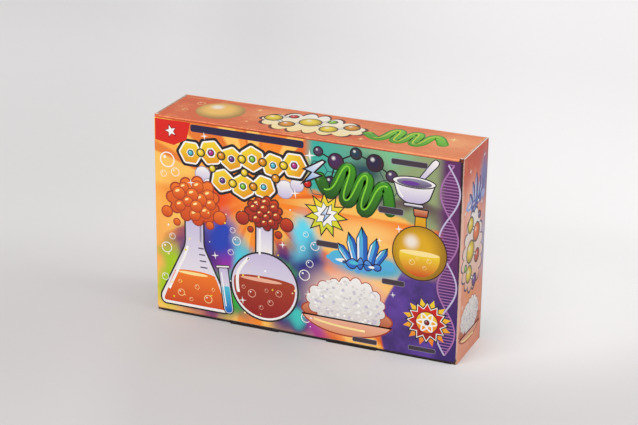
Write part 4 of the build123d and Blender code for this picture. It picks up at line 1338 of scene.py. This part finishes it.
def clear_plastic(name, colour, body):
    """See-through plastic that closes up where it is seen edge on; body is its share of colour face on."""
    def build(sketch, shader):
        edge_on = sketch.named(sketch.node("ShaderNodeLayerWeight"), "Facing", Blend=0.4)
        scratches = sketch.noise(sketch.place(), 1.2, 4.0, 0.7, stretch=(0.2, 1.0, 1.0)).fade(0.6, 0.8)
        alpha = edge_on * 0.6 + body + scratches * 0.08
        surface(sketch, shader, sketch.effect(moulded_skin(), Colour=colour, Speckle=0.05),
                Alpha=sketch.math("MINIMUM", alpha, 1.0), Coat_Weight=0.8, Coat_Roughness=0.06)
    return finish(name, build)


def pin_steel():
    return plastic("pin_steel", paint(172, 172, 176), 0.2, Metallic=1.0)


def arc_marks(name, places, middle, axis, width, proud, tint):
    """Printed or moulded marks round a tube, each (distance along it, radius, from degrees, to degrees)."""
    mesh = bmesh.new()
    side, axis = Vector((0, 0, 1)), Vector(axis)
    for along, radius, start, stop in places:
        foot = Vector(middle) + axis * along
        corners = [side * (radius + out) + axis * step
                   for out, step in ((-proud / 2, 0), (proud, 0), (proud, width), (-proud / 2, width))]
        turn = Matrix.Rotation(radians(start), 3, axis)
        face = mesh.faces.new([mesh.verts.new(foot + turn @ corner) for corner in corners])
        bmesh.ops.spin(mesh, geom=[face, *face.edges, *face.verts], cent=foot, axis=axis,
                       angle=radians(stop - start), steps=max(4, int((stop - start) / 9)),
                       use_merge=stop - start >= 360)
    bmesh.ops.remove_doubles(mesh, verts=mesh.verts[:], dist=0.0005)
    bmesh.ops.recalc_face_normals(mesh, faces=mesh.faces[:])
    mesh.transform(Matrix.Scale(MM, 4))
    new_piece(name, mesh, [plastic(name + "_ink", tint, 0.2)], "carton")


class MarkKit(bpy.types.Operator):
    """Labels of the jars and their caps, graduations of the cup and tubes, staples of the booklet"""
    bl_idname = "chemistry_case.kit_marks"
    bl_label = "Kit marks"

    def execute(self, context):
        down = (0, -1, 0)
        for number, tint in ((1, "red"), (2, "blue"), (3, "green")):
            _, high, middle = node_box(f"jar_{number}")
            mouth = (middle.x, high.y, middle.z)
            radius = high.x - middle.x
            label, stripe = [(14, radius, 0, 360)], [(29, radius + 0.08, 0, 360)]
            arc_marks(f"jar_label_{number}", label, mouth, down, 21.2, 0.08, INK["white"])
            arc_marks(f"jar_stripe_{number}", stripe, mouth, down, 4.4, 0.06, INK[tint])
            self.cap_sticker(number, tint)
        self.cup_marks()
        self.tube_marks()
        self.staples()
        return {"FINISHED"}

    def cap_sticker(self, number, tint):
        """Round paper sticker with a plain picture on a cap."""
        low, _, middle = node_box(f"jar_cap_{number}")
        sheet = Sheet(f"cap_sticker_{number}", "front", (middle.x, low.y, middle.z), ((-11, 11), (-11, 11)),
                      f"cap_{number}", f"{tint}_cap")
        pen = sheet.pen()
        pen.disc(0, 0, 10, "white", tint, 1.2)
        if number == 1:
            crystals(pen.at(0, -1, 0.24), ("crimson", "red", "rose"), "line")
        elif number == 2:
            pen.patch([(0, 7), (-3.6, 0), (-3.6, -3.4), (0, -6), (3.6, -3.4), (3.6, 0)], ("blue", "cyan"),
                      1.6, "line", 0.4)
            pen.disc(-1.3, -1.6, 1.0, "white")
        else:
            molecule(pen, [(-4, -3, 2.4, "green"), (0, 3, 2.8, "leaf"), (4.4, -2, 2.1, "green")],
                     [(0, 1), (1, 2)], 1.2)
        sheet.finish()

    def cup_marks(self):
        """Raised rings that tell how full the cup is, long and short by turns."""
        low, high, middle = node_box("measuring_cup")
        depth, foot, mouth = high.y - low.y, 17.5, 21.5
        places = []
        for step in range(1, 9):
            along = 6.0 + 5.0 * step
            half = 17 if step % 2 else 29
            places.append((along, foot + (mouth - foot) * along / depth, 150 - half, 150 + half))
        arc_marks("cup_graduations", places, (middle.x, high.y, middle.z), (0, -1, 0), 0.5, 0.14,
                  paint(40, 70, 140))

    def tube_marks(self):
        """Printed rings of both test tubes and of the dropper."""
        tube = [(24 + 6.5 * step, 7.5, 40, 100 if step % 2 else 130) for step in range(9)]
        dropper = [(22 + 8 * step, 3.0, 50, 130) for step in range(6)]
        for node, name, places, width, proud in (("test_tube_1", "tube_graduations_1", tube, 0.45, 0.06),
                                                 ("test_tube_2", "tube_graduations_2", tube, 0.45, 0.06),
                                                 ("dropper_tube", "dropper_graduations", dropper, 0.4, 0.05)):
            low, _, middle = node_box(node)
            arc_marks(name, places, (low.x, middle.y, middle.z), (1, 0, 0), width, proud, paint(44, 44, 54))

    def staples(self):
        """Two wire staples over the booklet's fold."""
        low, high, middle = node_box("booklet_cover")
        half, leg = 5.6, 0.8
        paths = []
        for share in (0.25, 0.75):
            z = low.z + (high.z - low.z) * share
            profile = ((leg, -half), (-0.1, -half), (-0.1, 0), (-0.1, half), (leg, half))
            paths.append([(low.x + x, middle.y, z + rise) for x, rise in profile])
        mesh = swept(paths, 1e-4, bevel_depth=0.28, bevel_resolution=2)
        bmesh.ops.recalc_face_normals(mesh, faces=mesh.faces[:])
        mesh.transform(Matrix.Scale(MM, 4))
        new_piece("booklet_staples", mesh, [pin_steel()], "carton")


class FinishKit(bpy.types.Operator):
    """Plastics, rubber and steel of the jars, tubes, cup, dropper, spatula and goggles"""
    bl_idname = "chemistry_case.kit"
    bl_label = "Kit finishes"

    def execute(self, context):
        kit = context.scene.kit_finish
        white = tuple(kit.moulded)
        jar = plastic("jar_plastic", white, Subsurface_Weight=0.08)
        disc = plastic("foam_disc", paint(236, 232, 222), 2.5)
        rubber = plastic("stopper_rubber", paint(214, 206, 190), 0.9)
        goggle = plastic("goggle_plastic", white, 0.25)
        clear = clear_plastic("clear_plastic", paint(226, 236, 238), 0.16)
        smoke = clear_plastic("lens_plastic", paint(150, 162, 172), 0.34)
        for number, cap in enumerate((kit.red_cap, kit.blue_cap, kit.green_cap), 1):
            finish_node(f"jar_{number}", jar)
            finish_node(f"jar_cap_{number}", plastic(f"cap_plastic_{number}", tuple(cap), 0.5))
            finish_node(f"jar_liner_{number}", disc)
        for material, names in (
                (clear, ("test_tube_1", "test_tube_2", "measuring_cup", "dropper_tube")),
                (rubber, ("tube_stopper_1", "tube_stopper_2")),
                (plastic("bulb_rubber", paint(196, 62, 44), 0.8), ("dropper_bulb",)),
                (plastic("spatula_plastic", white, 0.4), ("spatula",)),
                (goggle, ("goggle_frame", "goggle_temple_left", "goggle_temple_right")),
                (smoke, ("goggle_lens_left", "goggle_lens_right")),
                (pin_steel(), ("goggle_hinge_pins",))):
            for name in names:
                finish_node(name, material)
        return {"FINISHED"}


class FinishBooklet(bpy.types.Operator):
    """Stapled booklet with a plain drawing on its cover"""
    bl_idname = "chemistry_case.booklet"
    bl_label = "Booklet"

    def execute(self, context):
        low, high, middle = node_box("booklet_cover")
        cover = warm_ground((250, 172, 72), (222, 92, 30), ("z", low.z, high.z), (("y", 1), [
            ((255, 214, 130), (middle.x, 110), (46, 52), 0.9),
            ((96, 60, 120), (low.x, low.z), (60, 46), 0.9),
        ]))
        finish_node("booklet_cover", board_material(
            "booklet_cover", "X", cover,
            printed=lambda x, y, z: y.below(low.y + 0.3) | y.above(high.y - 0.3) | x.below(low.x + 0.3)))
        finish_node("booklet_pages", finish("booklet_pages", self.leaves))

        sheet = Sheet("booklet_drawing", "front", (middle.x, low.y, middle.z), ((-51, 51), (-73, 73)),
                      "carton", "booklet_cover_paper")
        pen = sheet.pen()
        puff(pen, 0, 44, 42, 15, ("lilac", "white"), "line", 1.2, 0.4)
        molecule(pen, [(-26, 46, 7, "yellow"), (-11, 40, 6, "amber"), (5, 48, 8, "yellow"),
                       (23, 42, 6, "red")], [(0, 1), (1, 2), (2, 3)], 3.4)
        conical_flask(pen.at(0, -50, 0.78), "leaf", "green")
        bubbles(pen, ((-26, 12, 3), (24, 20, 2.4), (30, -6, 3.2), (-32, -14, 2.2)))
        pen.bar(0, -64, 96, 5, ("brick", "rust"), 1.5)
        sheet.finish()
        return {"FINISHED"}

    def leaves(self, sketch, shader):
        """Edges of a stack of leaves, with painted shade in the gaps between them."""
        spot = sketch.place()
        gaps = (sketch.parts(spot)[1] * (tau / LEAF)).sine().fade(-0.2, 0.6)
        # Painted shade: the gaps between leaves are darkened
        paper = sketch.mix(gaps * 0.5, paint(240, 237, 228), paint(196, 190, 178))
        rough = 0.6 + sketch.noise(spot, 1.0) * 0.2
        surface(sketch, shader, (paper, rough, sketch.bump(gaps, 0.2, 0.1 * MM)))


# ---------------------------------------------------------------- operators: stage
FLOOR_HALF = 4.0                                    # m to each side
FLOOR_FRONT = -3.0
SWEEP_START = 0.9                                   # m behind the case, where the floor starts to rise
SWEEP_RADIUS = 0.8
BACKDROP_TOP = 3.0
CAMERA_PLACE = (0.63003, -1.50435, 0.74084)         # m
CAMERA_AHEAD = (-0.35964, 0.86073, -0.36028)
CAMERA_ROLL = 0.731                                 # degrees


class SetStage(bpy.types.Operator):
    """Pale floor and backdrop, soft lamps and the camera"""
    bl_idname = "chemistry_case.stage"
    bl_label = "Stage"

    def execute(self, context):
        self.floor()
        self.lights(context.scene)
        self.camera(context.scene)
        context.scene.view_settings.view_transform = "Standard"
        return {"FINISHED"}

    def floor(self):
        """Floor that sweeps up into the backdrop: one edge line drawn out to both sides."""
        mesh = bmesh.new()
        foot = mesh.verts.new((-FLOOR_HALF, SWEEP_START, 0))
        bmesh.ops.spin(mesh, geom=[foot], cent=(-FLOOR_HALF, SWEEP_START, SWEEP_RADIUS), axis=(1, 0, 0),
                       angle=pi / 2, steps=12, use_duplicate=False)
        foot, top = (pick(mesh.verts, key=lambda vert: vert.co.z) for pick in (min, max))
        mesh.edges.new((foot, mesh.verts.new((-FLOOR_HALF, FLOOR_FRONT, 0))))
        mesh.edges.new((top, mesh.verts.new((-FLOOR_HALF, top.co.y, BACKDROP_TOP))))
        made = bmesh.ops.extrude_edge_only(mesh, edges=mesh.edges[:])["geom"]
        bmesh.ops.translate(mesh, vec=(2 * FLOOR_HALF, 0, 0),
                            verts=[v for v in made if isinstance(v, bmesh.types.BMVert)])
        bmesh.ops.recalc_face_normals(mesh, faces=mesh.faces[:])
        if min(mesh.faces, key=lambda face: face.calc_center_median().z).normal.z < 0:
            bmesh.ops.reverse_faces(mesh, faces=mesh.faces[:])
        for face in mesh.faces:
            face.smooth = True
        data = bpy.data.meshes.new("floor")
        mesh.to_mesh(data)
        mesh.free()
        data.materials.append(finish("floor_paper", self.floor_paper))
        floor = bpy.data.objects.new("floor", data)
        bpy.context.scene.collection.objects.link(floor)
        floor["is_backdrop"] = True

    def floor_paper(self, sketch, shader):
        """Pale paper, brighter to the camera behind and beside the case, and clear from beneath."""
        x, y, _ = sketch.parts(sketch.place())
        across = x * 0.92 + y * 0.39
        behind = x * -0.39 + y * 0.92
        grain = sketch.noise(sketch.place(), 0.02)
        tone = sketch.mix(grain * 0.03, tuple(bpy.context.scene.stage_settings.floor), GREY)
        near, far = behind.fade(-120, 300), behind.fade(250, 1000)
        sweep = -0.14 + near * 0.15 + far * -0.1
        beside = reach((across - 190.0) / 260.0, (behind - 30.0) / 230.0).fade(1.0, 0.0)
        glow = 0.01 + near * 0.17 + far * 0.11 + across.fade(-220, -60) * sweep
        glow = glow + across.fade(-350, 350) * 0.24 + beside * 0.25
        seen = sketch.call("ShaderNodeLightPath", output="Is Camera Ray")
        from_below = sketch.call("ShaderNodeNewGeometry", output="Backfacing")
        sketch.named(shader, Base_Color=tone, Roughness=0.55 + grain * 0.2, Alpha=1.0 - from_below,
                     Emission_Color=WHITE, Emission_Strength=(glow | 0.0) * seen, Specular_IOR_Level=0.2)

    def lights(self, scene):
        settings = scene.stage_settings
        world = bpy.data.worlds.new("surround")
        scene.world = world
        world.use_nodes = True
        surround = world.node_tree.nodes["Background"].inputs
        surround["Color"].default_value = WHITE
        surround["Strength"].default_value = settings.surround
        aim = Vector((0, 0, 0.1))
        for name, place, size, power in (("key", Vector((-0.5, -1.5, 1.4)), 1.3, settings.key_power),
                                         ("fill", Vector((1.6, 0.1, 1.1)), 1.2, settings.fill_power)):
            lamp = bpy.data.lights.new(name, "AREA")
            lamp.energy = power
            lamp.size = size
            holder = bpy.data.objects.new(name, lamp)
            scene.collection.objects.link(holder)
            holder.location = place
            holder.rotation_euler = (aim - place).to_track_quat("-Z", "Y").to_euler()

    def camera(self, scene):
        """Camera on the photographer's side, a little rolled."""
        camera = bpy.data.cameras.new("camera")
        camera.lens = scene.stage_settings.lens
        camera.sensor_width = 36.0
        camera.clip_end = 50.0
        holder = bpy.data.objects.new("camera", camera)
        scene.collection.objects.link(holder)
        ahead = Vector(CAMERA_AHEAD).normalized()
        right = ahead.cross(Vector((0, 0, 1))).normalized()
        level = Matrix((right, right.cross(ahead), -ahead)).transposed().to_4x4()
        roll = Matrix.Rotation(radians(CAMERA_ROLL), 4, "Z")
        holder.matrix_world = Matrix.Translation(CAMERA_PLACE) @ level @ roll
        scene.camera = holder


OPERATORS = (FinishCarton, PrintFront, PrintTop, PrintEnds, PrintBack, FinishKit, MarkKit, FinishBooklet,
             SetStage)
GROUPS = {"carton_finish": CartonFinish, "kit_finish": KitFinish, "stage_settings": StageSettings}


class CasePanel(bpy.types.Panel):
    """Lists the steps that dress the case"""
    bl_idname = "VIEW3D_PT_chemistry_case"
    bl_label = "Chemistry case"
    bl_space_type = "VIEW_3D"
    bl_region_type = "UI"
    bl_category = "Chemistry Case"

    def draw(self, context):
        for group in GROUPS:
            settings = getattr(context.scene, group)
            box = self.layout.box()
            for key in settings.__annotations__:
                box.prop(settings, key)
        for step in OPERATORS:
            self.layout.operator(step.bl_idname)


CLASSES = (*GROUPS.values(), *OPERATORS, CasePanel)


def register():
    for item in CLASSES:
        bpy.utils.register_class(item)
    for name, group in GROUPS.items():
        setattr(bpy.types.Scene, name, PointerProperty(type=group))


def unregister():
    for name in GROUPS:
        delattr(bpy.types.Scene, name)
    for item in reversed(CLASSES):
        bpy.utils.unregister_class(item)


def main():
    register()
    for step in OPERATORS:
        family, name = step.bl_idname.split(".")
        getattr(getattr(bpy.ops, family), name)()
    boxes = {"cad": CAD_BOX, "visual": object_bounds()}
    boxes = {key: [list(corner) for corner in box] for key, box in boxes.items()}


if __name__ == "__main__":
    main()
